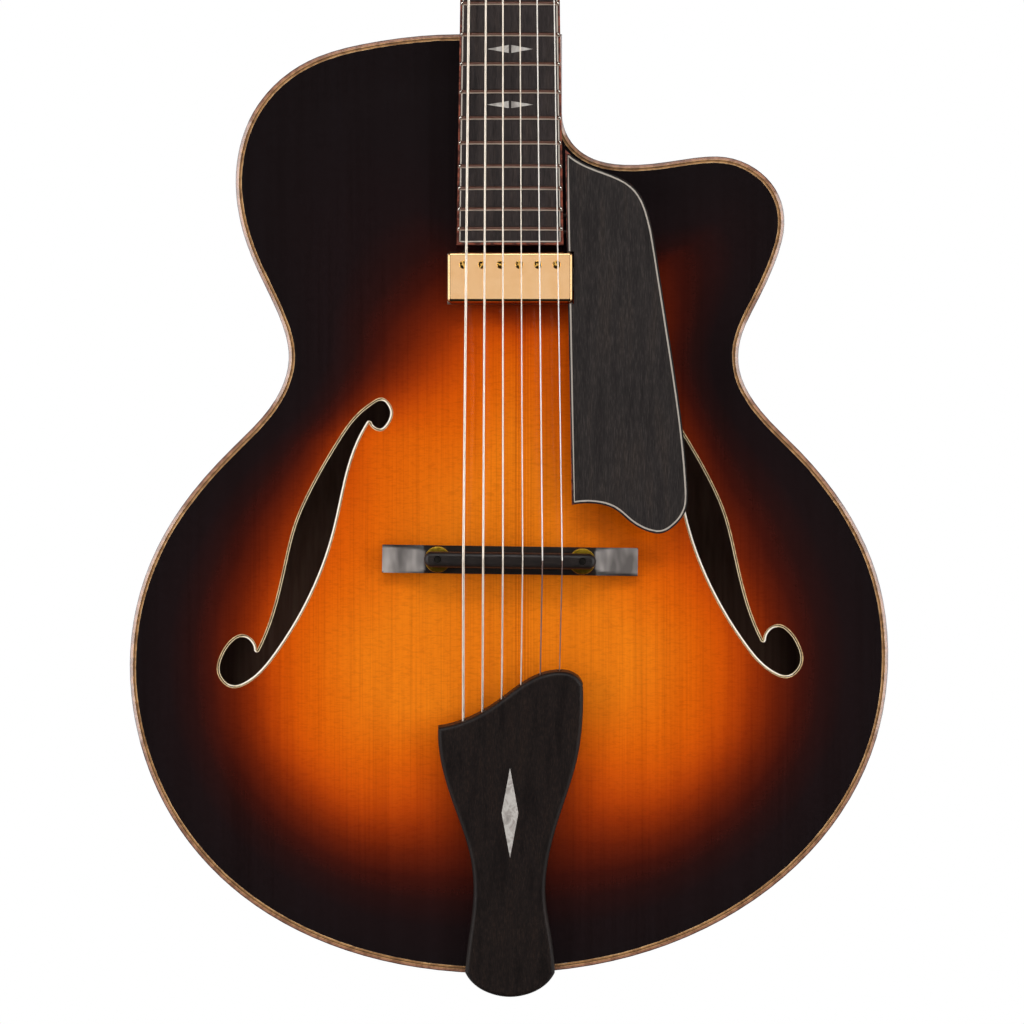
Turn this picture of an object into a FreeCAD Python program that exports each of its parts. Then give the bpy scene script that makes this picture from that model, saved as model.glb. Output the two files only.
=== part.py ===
import FreeCAD, Part
import math
import os
import re
import types
import Sketcher
from FreeCAD import Placement, Rotation, Vector

# Archtop guitar, in millimetres and degrees. It stands upright with its neck along +Z, its carved top
# faces -Y, and +X is the treble side with the cutaway. The origin is on the centre line, half way
# through the depth of the rim, at the outside of the rim's tail end.

DIMENSIONS = {
    # Shared
    "overrun": 10.0,
    "glue_gap": 0.1,
    "running_clearance": 0.05,
    # Body
    "body_length": 505.6,
    "lower_bout_width": 408.0,
    "rim_depth": 66.0,
    "side_thickness": 2.4,
    "plate_edge": 5.0,
    "plate_thickness": 5.0,
    "top_arch": 18.0,
    "back_arch": 16.0,
    "arch_reach": 140.0,
    "arch_ledge": 6.0,
    "hollow_ledge": 12.0,
    "hollow_start": 0.6,
    "recurve_depth": 0.8,
    "recurve_place": 20.0,
    "recurve_width": 10.0,
    "arch_grid": 12.0,
    "lining_width": 7.0,
    "lining_height": 14.0,
    "binding_width": 3.4,
    "neck_block_width": 60.0,
    "neck_block_length": 48.0,
    "tail_block_width": 76.0,
    "tail_block_length": 26.0,
    "tone_bar_width": 6.5,
    "tone_bar_length": 300.0,
    "tone_bar_spacing": 66.0,
    "tone_bar_height": 14.0,
    "tone_bar_centre": 235.0,
    # Sound holes
    "f_hole_length": 156.2,
    "f_hole_place": 110.3,
    "f_hole_centre": 231.8,
    "f_hole_treble_rise": 5.4,
    "f_hole_binding": 1.5,
    # Neck and fingerboard
    "scale_length": 635.0,
    "fret_count": 22,
    "joint_lift": 17.7,
    "nut_width": 44.0,
    "nut_thickness": 5.0,
    "nut_height": 3.0,
    "nut_slot_floor": 1.5,
    "nut_spread": 37.8,
    "board_end_width": 57.2,
    "board_thickness": 6.0,
    "board_radius": 305.0,
    "board_overhang": 8.6,
    "board_binding": 2.0,
    "fret_width": 2.2,
    "fret_height": 1.1,
    "fret_end_gap": 0.3,
    "inlay_depth": 1.5,
    "inlay_slot": 1.4,
    "neck_depth_nut": 14.5,
    "neck_depth_heel": 18.0,
    "heel_width": 34.0,
    "heel_length": 17.0,
    "heel_top_length": 58.0,
    "heel_cap_thickness": 2.5,
    "tongue_thickness": 6.0,
    "tongue_inset": 4.0,
    "tenon_width": 22.0,
    "tenon_length": 18.0,
    "tenon_depth": 50.0,
    "truss_rod_radius": 3.0,
    "truss_rod_cover_gap": 3.5,
    "truss_rod_start": 20.0,
    # Headstock
    "head_angle": 14.0,
    "head_length": 172.0,
    "head_width": 80.0,
    "head_thickness": 14.0,
    "veneer_thickness": 2.5,
    "cover_length": 44.0,
    "cover_width": 22.0,
    "cover_thickness": 2.0,
    # Tuning machines
    "tuner_first": 40.0,
    "tuner_step": 38.0,
    "tuner_place": 22.0,
    "post_radius": 3.0,
    "post_height": 13.0,
    "post_hole_radius": 0.9,
    "post_chamfer": 0.6,
    "bushing_radius": 4.6,
    "bushing_flange_radius": 6.6,
    "bushing_flange": 1.8,
    "bushing_depth": 10.0,
    "housing_width": 17.0,
    "housing_low": 8.5,
    "housing_high": 11.5,
    "housing_depth": 12.0,
    "housing_wall": 1.6,
    "housing_round": 2.4,
    "gear_radius": 4.6,
    "gear_thickness": 4.0,
    "gear_place": 3.0,
    "gear_gap": 0.3,
    "worm_radius": 2.3,
    "shaft_radius": 1.8,
    "shaft_length": 13.0,
    "button_length": 15.0,
    "button_width": 19.0,
    "button_neck_width": 9.0,
    "button_thickness": 8.0,
    "button_round": 2.6,
    # Strings
    "string_1_gauge": 0.33,
    "string_2_gauge": 0.43,
    "string_3_gauge": 0.66,
    "string_4_gauge": 0.91,
    "string_5_gauge": 1.17,
    "string_6_gauge": 1.42,
    "bridge_spread": 52.8,
    "bridge_shift": 1.5,
    "anchor_spread": 51.3,
    "anchor_shift": 0.6,
    "anchor_depth": 12.0,
    "saddle_gap": 0.6,
    "saddle_bend": 5.0,
    "nut_bend": 6.0,
    "coil_gap": 0.15,
    "coil_space": 0.55,
    "coil_turns": 2.5,
    "coil_start": 4.0,
    # Bridge
    "bridge_place": 222.5,
    "bridge_height": 24.5,
    "bridge_skew": 0.8,
    "saddle_over_board": 5.0,
    "base_length": 137.0,
    "base_width": 15.0,
    "base_height": 9.0,
    "base_end_height": 4.0,
    "base_flat": 92.0,
    "stud_spacing": 77.4,
    "stud_radius": 2.0,
    "stud_recess": 3.2,
    "wheel_radius": 7.2,
    "wheel_thickness": 2.6,
    "wheel_chamfer": 0.4,
    "wheel_rise": 2.4,
    "saddle_length": 92.0,
    "saddle_width": 8.4,
    "saddle_round": 2.6,
    # Tailpiece and output jack
    "tail_length": 177.6,
    "tail_width": 77.9,
    "tail_thickness": 9.0,
    "tail_drop": 11.4,
    "tail_angle": 8.9,
    "tail_clearance": 1.0,
    "tail_round": 2.4,
    "tail_hole_radius": 1.3,
    "tail_inlay_length": 49.0,
    "tail_inlay_width": 9.0,
    "tail_inlay_rise": 12.2,
    "tail_inlay_depth": 1.5,
    "bracket_thickness": 3.0,
    "bracket_width": 28.0,
    "bracket_reach": 46.0,
    "bracket_leg": 52.0,
    "jack_bore_radius": 3.25,
    "jack_radius": 5.5,
    "jack_flange_radius": 8.5,
    "jack_flange": 2.5,
    "jack_length": 44.0,
    "jack_nut_width": 14.0,
    "jack_nut_thickness": 3.0,
    "strap_radius": 7.0,
    "strap_waist_radius": 4.2,
    "strap_length": 13.0,
    # Pickguard
    "guard_left": 29.6,
    "guard_low": 14.6,
    "guard_width": 65.7,
    "guard_length": 206.3,
    "guard_drop": 1.0,
    "guard_thickness": 3.5,
    "guard_binding": 1.7,
    "guard_pin_radius": 1.0,
    "guard_pin_length": 7.0,
    "guard_pin_inset": 7.0,
    "guard_pin_step": 9.0,
    "guard_support_radius": 5.0,
    "guard_support_place": 58.0,
    "guard_support_height": 75.0,
    # Pickup
    "pickup_place": 152.0,
    "pickup_length": 67.3,
    "pickup_width": 27.0,
    "pickup_depth": 12.0,
    "pickup_drop": 1.5,
    "pickup_wall": 0.8,
    "pickup_round": 2.0,
    "pickup_edge_round": 1.5,
    "pickup_notch_gap": 0.6,
    "pole_spread": 49.9,
    "pole_offset": 6.6,
    "pole_radius": 2.2,
    "pole_stand": 0.9,
    "pole_head": 1.8,
    "pole_shank_radius": 1.4,
    "coil_length": 60.0,
    "coil_width": 9.6,
    "coil_depth": 6.0,
    "magnet_width": 3.2,
    "base_plate": 1.6,
    "ear_length": 14.0,
    "ear_width": 12.0,
    # Volume control
    "pot_radius": 7.5,
    "pot_height": 5.5,
    "pot_shaft_radius": 3.0,
    "pot_shaft_depth": 3.5,
    "pot_place": 80.0,
    "pot_low": 49.0,
    "knob_radius": 9.0,
    "knob_thickness": 3.4,
    "knob_gap": 0.5,
}

# Outline of the body, clockwise from the treble side of the heel, as shares of half the lower bout's
# width and of the body's length.
OUTLINE_SHARES = [
    (0.137, 0.916), (0.166, 0.883), (0.216, 0.868), (0.300, 0.861), (0.395, 0.863),
    (0.500, 0.869), (0.571, 0.869), (0.651, 0.856), (0.710, 0.828), (0.724, 0.798),
    (0.705, 0.763), (0.648, 0.712), (0.609, 0.676), (0.605, 0.644), (0.642, 0.610),
    (0.758, 0.559), (0.892, 0.491), (0.969, 0.423), (0.998, 0.345), (0.969, 0.253),
    (0.869, 0.168), (0.661, 0.083), (0.369, 0.024), (-0.026, 0.000), (-0.421, 0.023),
    (-0.708, 0.083), (-0.895, 0.168), (-0.990, 0.270), (-1.003, 0.339), (-0.963, 0.423),
    (-0.877, 0.491), (-0.734, 0.559), (-0.621, 0.610), (-0.584, 0.655), (-0.605, 0.695),
    (-0.682, 0.763), (-0.724, 0.840), (-0.679, 0.916), (-0.553, 0.967), (-0.369, 0.991),
    (-0.137, 1.000),
]

# Bass sound hole, as shares of its length about its middle: the upper lobe with the outer side, then
# the lower lobe with the inner side. They meet in the two points beside the lobes.
F_HOLE_OUTER_SHARES = [
    (0.221, 0.411), (0.237, 0.391), (0.261, 0.384), (0.293, 0.412), (0.304, 0.447),
    (0.293, 0.479), (0.265, 0.500), (0.230, 0.486), (0.188, 0.454), (0.103, 0.342),
    (0.005, 0.167), (-0.037, 0.068), (-0.065, -0.037), (-0.093, -0.163), (-0.128, -0.282),
    (-0.165, -0.367),
]
F_HOLE_INNER_SHARES = [
    (-0.165, -0.367), (-0.184, -0.328), (-0.216, -0.314), (-0.261, -0.338), (-0.293, -0.388),
    (-0.304, -0.437), (-0.286, -0.479), (-0.251, -0.500), (-0.205, -0.489), (-0.100, -0.388),
    (0.019, -0.191), (0.097, 0.012), (0.124, 0.125), (0.142, 0.209), (0.166, 0.295),
    (0.221, 0.411),
]

# Pickguard, clockwise from the tip beside the fingerboard to its lower left corner, as shares of its
# width and length.
GUARD_SHARES = [
    (0.000, 1.000), (0.187, 0.959), (0.375, 0.936), (0.522, 0.912), (0.608, 0.883),
    (0.677, 0.832), (0.751, 0.712), (0.873, 0.459), (0.996, 0.117), (0.984, 0.063),
    (0.898, 0.022), (0.775, 0.000), (0.653, 0.007), (0.538, 0.027), (0.400, 0.063),
    (0.252, 0.077), (0.052, 0.074),
]

# Tailpiece, clockwise side by side, as shares of its width and length.
TAIL_RIGHT_SHARES = [
    (0.500, 0.960), (0.493, 0.822), (0.460, 0.728), (0.355, 0.576), (0.270, 0.439),
    (0.245, 0.309), (0.281, 0.193), (0.309, 0.075),
]
TAIL_END_SHARES = [
    (0.309, 0.075), (0.225, 0.031), (0.110, 0.007), (0.000, 0.000), (-0.110, 0.007),
    (-0.225, 0.031), (-0.309, 0.075),
]
TAIL_LEFT_SHARES = [
    (-0.309, 0.075), (-0.280, 0.193), (-0.252, 0.316), (-0.280, 0.446), (-0.394, 0.598),
    (-0.458, 0.690), (-0.494, 0.829),
]
TAIL_TOP_SHARES = [
    (-0.494, 0.829), (-0.312, 0.850), (-0.101, 0.901), (0.127, 0.973), (0.322, 1.000),
    (0.430, 0.993), (0.500, 0.960),
]

# Right half of the headstock, from the nut to the middle of its crest, as shares of half its width and
# of its length.
HEAD_SHARES = [
    (0.550, 0.000), (0.620, 0.050), (0.800, 0.140), (0.890, 0.230), (0.885, 0.450),
    (0.900, 0.700), (1.000, 0.930),
]
CREST_SHARES = [(1.000, 0.930), (0.780, 0.962), (0.420, 0.968), (0.000, 1.000)]

# Frets that carry an inlay between themselves and the fret before, and the inlay's size as shares of
# that gap and of the board's width there.
INLAY_FRETS = [3, 5, 7, 9, 12, 15, 17]
INLAY_LENGTH_SHARE = 0.27
INLAY_WIDTH_SHARE = 0.456

# Sections of the heel from the fingerboard down to the back, as shares of the way down, of the change
# from the neck's width to the heel cap's, and of the change in length.
HEEL_SHARES = [(0.00, 0.00, 0.00), (0.22, 0.30, 0.52), (0.50, 0.66, 0.80), (1.00, 1.00, 1.00)]

# Turned profile of the strap button: a radius, the share of it, and the share of the button's length
STRAP_SHARES = [
    ("strap_radius", 0.80, 0.00), ("strap_waist_radius", 1.00, 0.30), ("strap_waist_radius", 1.00, 0.65),
    ("strap_radius", 1.00, 0.80), ("strap_radius", 1.00, 0.93), ("strap_radius", 0.85, 1.00),
]

# Half a hexagon's side as a share of its width across the flats
HEXAGON_SHARE = math.tan(math.radians(30)) / 2

STRINGS = 6
PLAIN_STRINGS = 2
FRETS_PER_OCTAVE = 12
CURVE_SAMPLES = 110
SMALL_CURVE_SAMPLES = 44
SECTION_SAMPLES = 24
COIL_SAMPLES = 6
ARCH_SHARPNESS = 5
STEEP_SHARE = 0.7
SMALLEST_SHARE = 1e-9

UP = Vector(0, 0, 1)
FRONT = Vector(0, -1, 0)
RIGHT = Vector(1, 0, 0)

doc = FreeCAD.newDocument("archtop_guitar")
sheet = doc.addObject("Spreadsheet::Sheet", "dims")
for row, (alias, value) in enumerate(DIMENSIONS.items(), start=1):
    sheet.set(f"A{row}", str(value))
    sheet.setAlias(f"A{row}", alias)
doc.recompute()
d = types.SimpleNamespace(**{alias: float(sheet.get(alias)) for alias in DIMENSIONS})
nodes = []


# Helpers for bodies bound to the sheet

def bound(expression):
    """Write a sum of aliases as an expression on the sheet."""
    return re.sub(r"[a-z_][a-z_0-9]*", lambda word: "dims." + word.group(0), expression)


def number(expression):
    """Today's value of a sum of aliases."""
    return float(sheet.evalExpression(bound(expression)))


def new_body(name):
    return doc.addObject("PartDesign::Body", name)


def new_sketch(body, role):
    sketch = body.newObject("Sketcher::SketchObject", body.Name + "_sketch")
    plane = next(item for item in body.Origin.OriginFeatures if item.Role == role)
    sketch.AttachmentSupport = (plane, [""])
    sketch.MapMode = "FlatFace"
    return sketch


def bind_point(sketch, geometry, point, x_sum, y_sum):
    """Hold one point of a sketch at a place worked out from the sheet."""
    for kind, text, axis in (("DistanceX", x_sum, -2), ("DistanceY", y_sum, -1)):
        if text == "0":
            sketch.addConstraint(Sketcher.Constraint("PointOnObject", geometry, point, axis))
            continue
        place = Sketcher.Constraint(kind, -1, 1, geometry, point, number(text))
        index = sketch.addConstraint(place)
        sketch.setExpression(f"Constraints[{index}]", bound(text))


def add_polygon(sketch, corners):
    """Add a closed polygon whose corners are pairs of sums."""
    first = sketch.GeometryCount
    places = [Vector(number(x_sum), number(y_sum), 0) for x_sum, y_sum in corners]
    count = len(places)
    for index in range(count):
        sketch.addGeometry(Part.LineSegment(places[index], places[(index + 1) % count]))
    for index in range(count):
        following = first + (index + 1) % count
        sketch.addConstraint(Sketcher.Constraint("Coincident", first + index, 2, following, 1))
    for index, (x_sum, y_sum) in enumerate(corners):
        bind_point(sketch, first + index, 1, x_sum, y_sum)


def add_circle(sketch, x_sum, y_sum, radius):
    """Add a circle with its centre and radius given as sums."""
    centre = Vector(number(x_sum), number(y_sum), 0)
    geometry = sketch.addGeometry(Part.Circle(centre, UP, number(radius)))
    bind_point(sketch, geometry, 3, x_sum, y_sum)
    index = sketch.addConstraint(Sketcher.Constraint("Radius", geometry, number(radius)))
    sketch.setExpression(f"Constraints[{index}]", bound(radius))


def add_feature(body, kind, sketch, length, back=False, both=False):
    """Pad or pocket a sketch by a length given as a sum."""
    feature = body.newObject("PartDesign::" + kind, body.Name + "_" + kind.lower())
    feature.Profile = sketch
    feature.setExpression("Length", bound(length))
    feature.Reversed = back
    feature.Midplane = both
    return feature


def revolve(body, sketch, axis="V_Axis"):
    feature = body.newObject("PartDesign::Revolution", body.Name + "_revolution")
    feature.Profile = sketch
    feature.ReferenceAxis = (sketch, [axis])
    feature.Angle = 360
    return feature


def dress(body, kind, base, edges, size):
    """Fillet or chamfer edges of a feature, by a size given as a sum."""
    feature = body.newObject("PartDesign::" + kind, body.Name + "_" + kind.lower())
    feature.Base = (base, edges)
    feature.setExpression("Radius" if kind == "Fillet" else "Size", bound(size))
    return feature


def edges_where(shape, wanted):
    """Names of the edges whose middle and direction pass a test."""
    names = []
    for index, edge in enumerate(shape.Edges, start=1):
        middle = edge.valueAt((edge.FirstParameter + edge.LastParameter) / 2)
        if wanted(edge, middle):
            names.append(f"Edge{index}")
    return names


def keep(name, shape, placement=None):
    """Make a node from a shape that Part's functions worked out."""
    node = doc.addObject("Part::Feature", name)
    node.Label = name
    node.Shape = shape
    if placement is not None:
        node.Placement = placement
    nodes.append(node)
    return node


def keep_object(name, item, placement=None):
    """Make a node of a bound object."""
    item.Label = name
    if placement is not None:
        item.Placement = placement
    nodes.append(item)
    return item


def placed(shape, placement):
    """A copy of a shape, moved."""
    copy = shape.copy()
    copy.Placement = placement.multiply(copy.Placement)
    return copy


# Helpers for curves and prisms in the XZ plane

def spline(points, first=None, last=None):
    curve = Part.BSplineCurve()
    if first is None:
        curve.interpolate(Points=points)
    else:
        curve.interpolate(Points=points, InitialTangent=first, FinalTangent=last, Scale=False)
    return curve.toShape()


def share_points(shares, width, length, x_origin=0, z_origin=0):
    return [Vector(x_origin + x * width, 0, z_origin + z * length) for x, z in shares]


def place_along(edge, share):
    """Parameter of an edge at a share of its length."""
    if share >= 1:
        return edge.LastParameter
    return edge.getParameterByLength(edge.Length * share)


def offset_curve(edge, distance, samples, fixed_ends=False):
    """A curve beside another, on its right hand as seen from the front."""
    points = []
    for index in range(samples + 1):
        place = place_along(edge, index / samples)
        along = edge.tangentAt(place)
        points.append(edge.valueAt(place) + Vector(along.z, 0, -along.x) * distance)
    if not fixed_ends:
        return spline(points)
    return spline(points, edge.tangentAt(edge.FirstParameter), edge.tangentAt(edge.LastParameter))


def line(start, end):
    return Part.LineSegment(start, end).toShape()


def closed(edges):
    return Part.Wire(Part.__sortEdges__(edges))


def prism(wire, y_low, y_high):
    """Extrude a closed wire of the XZ plane from one depth to another."""
    face = Part.Face(wire)
    face.translate(Vector(0, y_low, 0))
    return face.extrude(Vector(0, y_high - y_low, 0))


def ring(outer, inner, y_low, y_high):
    """The band between two closed wires, extruded from one depth to another."""
    face = Part.makeFace([outer, inner], "Part::FaceMakerBullseye")
    face.translate(Vector(0, y_low, 0))
    return face.extrude(Vector(0, y_high - y_low, 0))


def block(x_low, x_high, y_low, y_high, z_low, z_high):
    corner = Vector(x_low, y_low, z_low)
    return Part.makeBox(x_high - x_low, y_high - y_low, z_high - z_low, corner)


def tube(radius, start, end):
    """A round bar from one point to another."""
    return Part.makeCylinder(radius, (end - start).Length, start, end - start)


# Driving places

seat_y = d.rim_depth / 2
edge_y = seat_y + d.plate_edge
crest_y = -(edge_y + d.top_arch + d.bridge_height)
board_y = crest_y + d.saddle_over_board
half_bout = d.lower_bout_width / 2
joint_y = -(edge_y + d.joint_lift)
neck_angle = math.degrees(math.atan2(joint_y - board_y, d.body_length - d.bridge_place))
NECK = Placement(Vector(0, board_y, d.bridge_place), Rotation(RIGHT, -neck_angle))
head_base = Vector(0, d.board_thickness, d.scale_length + d.nut_thickness)
HEAD = NECK.multiply(Placement(head_base, Rotation(RIGHT, -d.head_angle)))
BRIDGE = Placement(Vector(0, 0, d.bridge_place), Rotation(Vector(0, 1, 0), d.bridge_skew))
tail_y = -(edge_y + d.tail_clearance)
TAIL = Placement(Vector(0, tail_y, 0), Rotation(RIGHT, d.tail_angle))


def fret_place(fret):
    """Distance of a fret from the saddle, along the neck."""
    return d.scale_length * 2 ** (-fret / FRETS_PER_OCTAVE)


board_end = fret_place(d.fret_count) - d.board_overhang


def board_half_width(place):
    """Half the fingerboard's width at a distance from the saddle."""
    share = (place - board_end) / (d.scale_length - board_end)
    return (d.board_end_width + (d.nut_width - d.board_end_width) * share) / 2


# Body outline and its insets

body_edge = spline(share_points(OUTLINE_SHARES, half_bout, d.body_length), Vector(0, 0, -1), RIGHT)


def outline(inset):
    """The body's outline, moved inwards all round."""
    edge = offset_curve(body_edge, inset, CURVE_SAMPLES, fixed_ends=True) if inset else body_edge
    start = edge.valueAt(edge.FirstParameter)
    end = edge.valueAt(edge.LastParameter)
    corner = Vector(start.x, 0, end.z)
    return closed([edge, line(end, corner), line(corner, start)])


def rim_samples():
    """Points of the rim, each with the length of rim that it stands for."""
    samples = []
    for edge in outline(0).Edges:
        count = max(2, round(edge.Length / d.arch_ledge))
        for index in range(count):
            point = edge.valueAt(place_along(edge, (index + 0.5) / count))
            samples.append((point.x, point.z, edge.Length / count))
    return samples


RIM = rim_samples()
STRAIGHT_EDGE_SUM = 4 / 3


def rim_distance(x, z):
    """Distance from the rim, rounded off along the middle of the body."""
    total = 0
    for rim_x, rim_z, length in RIM:
        square = (x - rim_x) ** 2 + (z - rim_z) ** 2
        total += length / max(square, d.glue_gap) ** (ARCH_SHARPNESS / 2)
    return (total / STRAIGHT_EDGE_SUM) ** (-1 / (ARCH_SHARPNESS - 1))


def climb(distance, ledge):
    """Share of the arch's height at a distance from the rim."""
    share = (distance - ledge) / (d.arch_reach - ledge)
    share = min(max(share, 0), 1)
    return share * share * (3 - 2 * share)


def grid_line(low, high):
    count = round((high - low) / d.arch_grid)
    return [low + (high - low) * index / count for index in range(count + 1)]


GRID_X = grid_line(-half_bout - d.arch_grid, half_bout + d.arch_grid)
GRID_Z = grid_line(-d.arch_grid, d.body_length + d.arch_grid)
GRID_DISTANCE = [[rim_distance(x, z) for z in GRID_Z] for x in GRID_X]


def surface(depth):
    """A smooth face whose depth follows the distance from the rim."""
    rows = []
    for x, distances in zip(GRID_X, GRID_DISTANCE):
        rows.append([Vector(x, depth(distance), z) for z, distance in zip(GRID_Z, distances)])
    sheet_surface = Part.BSplineSurface()
    sheet_surface.interpolate(rows)
    return sheet_surface.toShape()


def outer_depth(arch):
    """How far a plate's outer face stands from the middle of the rim."""
    def depth(distance):
        bump = (distance - d.recurve_place) / d.recurve_width
        return edge_y + arch * climb(distance, d.arch_ledge) - d.recurve_depth * math.exp(-bump * bump)
    return depth


def inner_depth(arch, gap=0):
    """How far a plate's inner face stands from the middle of the rim."""
    def depth(distance):
        hollow = arch + d.plate_edge - d.plate_thickness + d.hollow_start
        return seat_y - d.hollow_start - gap + hollow * climb(distance, d.hollow_ledge)
    return depth


def behind(face_depth, side):
    """Everything on the inner side of a plate's face. The side is -1 for the top and 1 for the back."""
    face = surface(lambda distance: side * face_depth(distance))
    return face.extrude(Vector(0, -side * (edge_y + seat_y), 0))


def plate_blank(arch, side):
    """An arched plate before any holes are cut, inside its binding."""
    far = side * (edge_y + arch + d.overrun)
    blank = prism(outline(d.binding_width), side * seat_y, far)
    return blank.common(behind(outer_depth(arch), side)).cut(behind(inner_depth(arch), side))


# Sound holes

def f_hole_edges(side):
    """The two curves of a sound hole. The side is -1 for bass and 1 for treble."""
    rise = d.f_hole_treble_rise if side > 0 else 0
    curves = []
    for shares in (F_HOLE_OUTER_SHARES, F_HOLE_INNER_SHARES):
        flipped = [(-side * x, z) for x, z in shares]
        places = share_points(
            flipped, d.f_hole_length, d.f_hole_length, side * d.f_hole_place, d.f_hole_centre + rise)
        curves.append(spline(places))
    return curves


def f_hole_wires(side):
    """Outer edge of a sound hole's binding, and the clear hole inside it."""
    curves = f_hole_edges(side)
    inner = [offset_curve(edge, side * d.f_hole_binding, SMALL_CURVE_SAMPLES) for edge in curves]
    joins = []
    for first, second, corner_edge in ((0, 1, curves[0]), (1, 0, curves[1])):
        corner = corner_edge.valueAt(corner_edge.LastParameter)
        start = inner[first].valueAt(inner[first].LastParameter)
        end = inner[second].valueAt(inner[second].FirstParameter)
        way = (start - corner) + (end - corner)
        middle = corner + way.normalize() * d.f_hole_binding
        joins.append(Part.Arc(start, middle, end).toShape())
    return closed(curves), closed(inner + joins)


def f_hole_prism(wire):
    return prism(wire, -(edge_y + d.top_arch + d.overrun), -seat_y + d.overrun)


# Body pieces

def make_plates():
    top = plate_blank(d.top_arch, -1)
    outside = behind(outer_depth(d.top_arch), -1)
    inside = behind(inner_depth(d.top_arch), -1)
    rings = []
    for side in (-1, 1):
        hole, clear = f_hole_wires(side)
        hole_prism = f_hole_prism(hole)
        top = top.cut(hole_prism)
        band = hole_prism.cut(f_hole_prism(clear)).common(outside).cut(inside)
        rings.extend(band.Solids)
    keep("top_plate", top)
    keep("back_plate", plate_blank(d.back_arch, 1))
    keep("f_hole_bindings", Part.makeCompound(rings))


def make_bindings():
    for name, side in (("top_binding", -1), ("back_binding", 1)):
        keep(name, ring(outline(0), outline(d.binding_width), side * seat_y, side * edge_y))


def tenon(clearance):
    """The neck's tenon, larger all round by a clearance."""
    half = d.tenon_width / 2 + clearance
    low = d.body_length - d.tenon_length - clearance
    return block(-half, half, -seat_y, -seat_y + d.tenon_depth + clearance, low, d.body_length)


def jack_hole(clearance):
    return tube(d.jack_radius + clearance, UP * -(d.tail_drop + d.overrun), UP * (d.jack_length + d.overrun))


def make_rim():
    inner_wire = outline(d.side_thickness)
    sides = ring(outline(0), inner_wire, -seat_y, seat_y)
    sides = sides.cut(tenon(d.glue_gap)).cut(jack_hole(d.glue_gap))
    wide = d.lower_bout_width
    high = d.body_length + d.overrun
    keep("side_bass", sides.common(block(-wide, 0, -seat_y, seat_y, -d.overrun, high)))
    keep("side_treble", sides.common(block(0, wide, -seat_y, seat_y, -d.overrun, high)))
    inside = prism(inner_wire, -seat_y, seat_y)
    half = d.neck_block_width / 2
    neck_low = d.body_length - d.side_thickness - d.neck_block_length
    neck_blank = block(-half, half, -seat_y, seat_y, neck_low, high)
    keep("neck_block", neck_blank.common(inside).cut(tenon(d.glue_gap)))
    half = d.tail_block_width / 2
    tail_blank = block(-half, half, -seat_y, seat_y, 0, d.side_thickness + d.tail_block_length)
    keep("tail_block", tail_blank.common(inside).cut(jack_hole(d.glue_gap)))
    linings = []
    core = outline(d.side_thickness + d.lining_width)
    for edge in (-seat_y, seat_y):
        band = ring(inner_wire, core, edge, edge - math.copysign(d.lining_height, edge))
        linings.extend(band.cut(neck_blank).cut(tail_blank).Solids)
    keep("linings", Part.makeCompound(linings))


def make_tone_bars():
    under_top = behind(inner_depth(d.top_arch, d.glue_gap), -1)
    floor = -(edge_y + d.top_arch - d.plate_thickness - d.tone_bar_height)
    bars = []
    for side in (-1, 1):
        middle = side * d.tone_bar_spacing / 2
        low = d.tone_bar_centre - d.tone_bar_length / 2
        bar = block(
            middle - d.tone_bar_width / 2, middle + d.tone_bar_width / 2,
            -(edge_y + d.top_arch), floor, low, low + d.tone_bar_length)
        bars.extend(bar.common(under_top).Solids)
    keep("tone_bars", Part.makeCompound(bars))


# Neck

def half_round(width, depth, fullness, placement):
    """A closed section, flat on top and rounded below, fuller as its exponent grows."""
    points = []
    for index in range(SECTION_SAMPLES + 1):
        angle = math.pi * index / SECTION_SAMPLES
        across = math.copysign(abs(math.cos(angle)) ** (2 / fullness), math.cos(angle))
        down = abs(math.sin(angle)) ** (2 / fullness)
        points.append(Vector(across * width / 2, down * depth, 0))
    points[-1] = Vector(-width / 2, 0, 0)
    section = Part.Wire([spline(points), line(points[-1], points[0])])
    section.Placement = placement
    return section


def head_edges():
    """Outline of the headstock, clockwise from its left corner at the nut."""
    half = d.head_width / 2
    right = spline(share_points(HEAD_SHARES, half, d.head_length))
    crest = spline(share_points(CREST_SHARES, half, d.head_length))
    edges = [right, crest]
    for edge in (right, crest):
        mirrored = edge.mirror(Vector(0, 0, 0), RIGHT)
        edges.append(mirrored)
    foot_half = HEAD_SHARES[0][0] * half
    edges.append(line(Vector(-foot_half, 0, 0), Vector(foot_half, 0, 0)))
    return closed(edges)


# Sections where the neck swells into the headstock: share of the tuners' first place, fullness
VOLUTE_SHARES = [
    (0.14, 2.2), (0.26, 2.6), (0.38, 3.2), (0.50, 4.0), (0.62, 5.2), (0.74, 7.0), (0.86, 9.5), (0.98, 13.0)]
SHAFT_FULLNESS = 2.0


def head_half_width(place):
    """Half the headstock's width at a distance from the nut, between the points of its outline."""
    share = place / d.head_length
    for (low_x, low_z), (high_x, high_z) in zip(HEAD_SHARES, HEAD_SHARES[1:]):
        if share <= high_z:
            break
    part = (share - low_z) / (high_z - low_z)
    return (low_x + (high_x - low_x) * part) * d.head_width / 2


joint_place = (d.body_length - d.bridge_place) / math.cos(math.radians(neck_angle))


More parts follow.
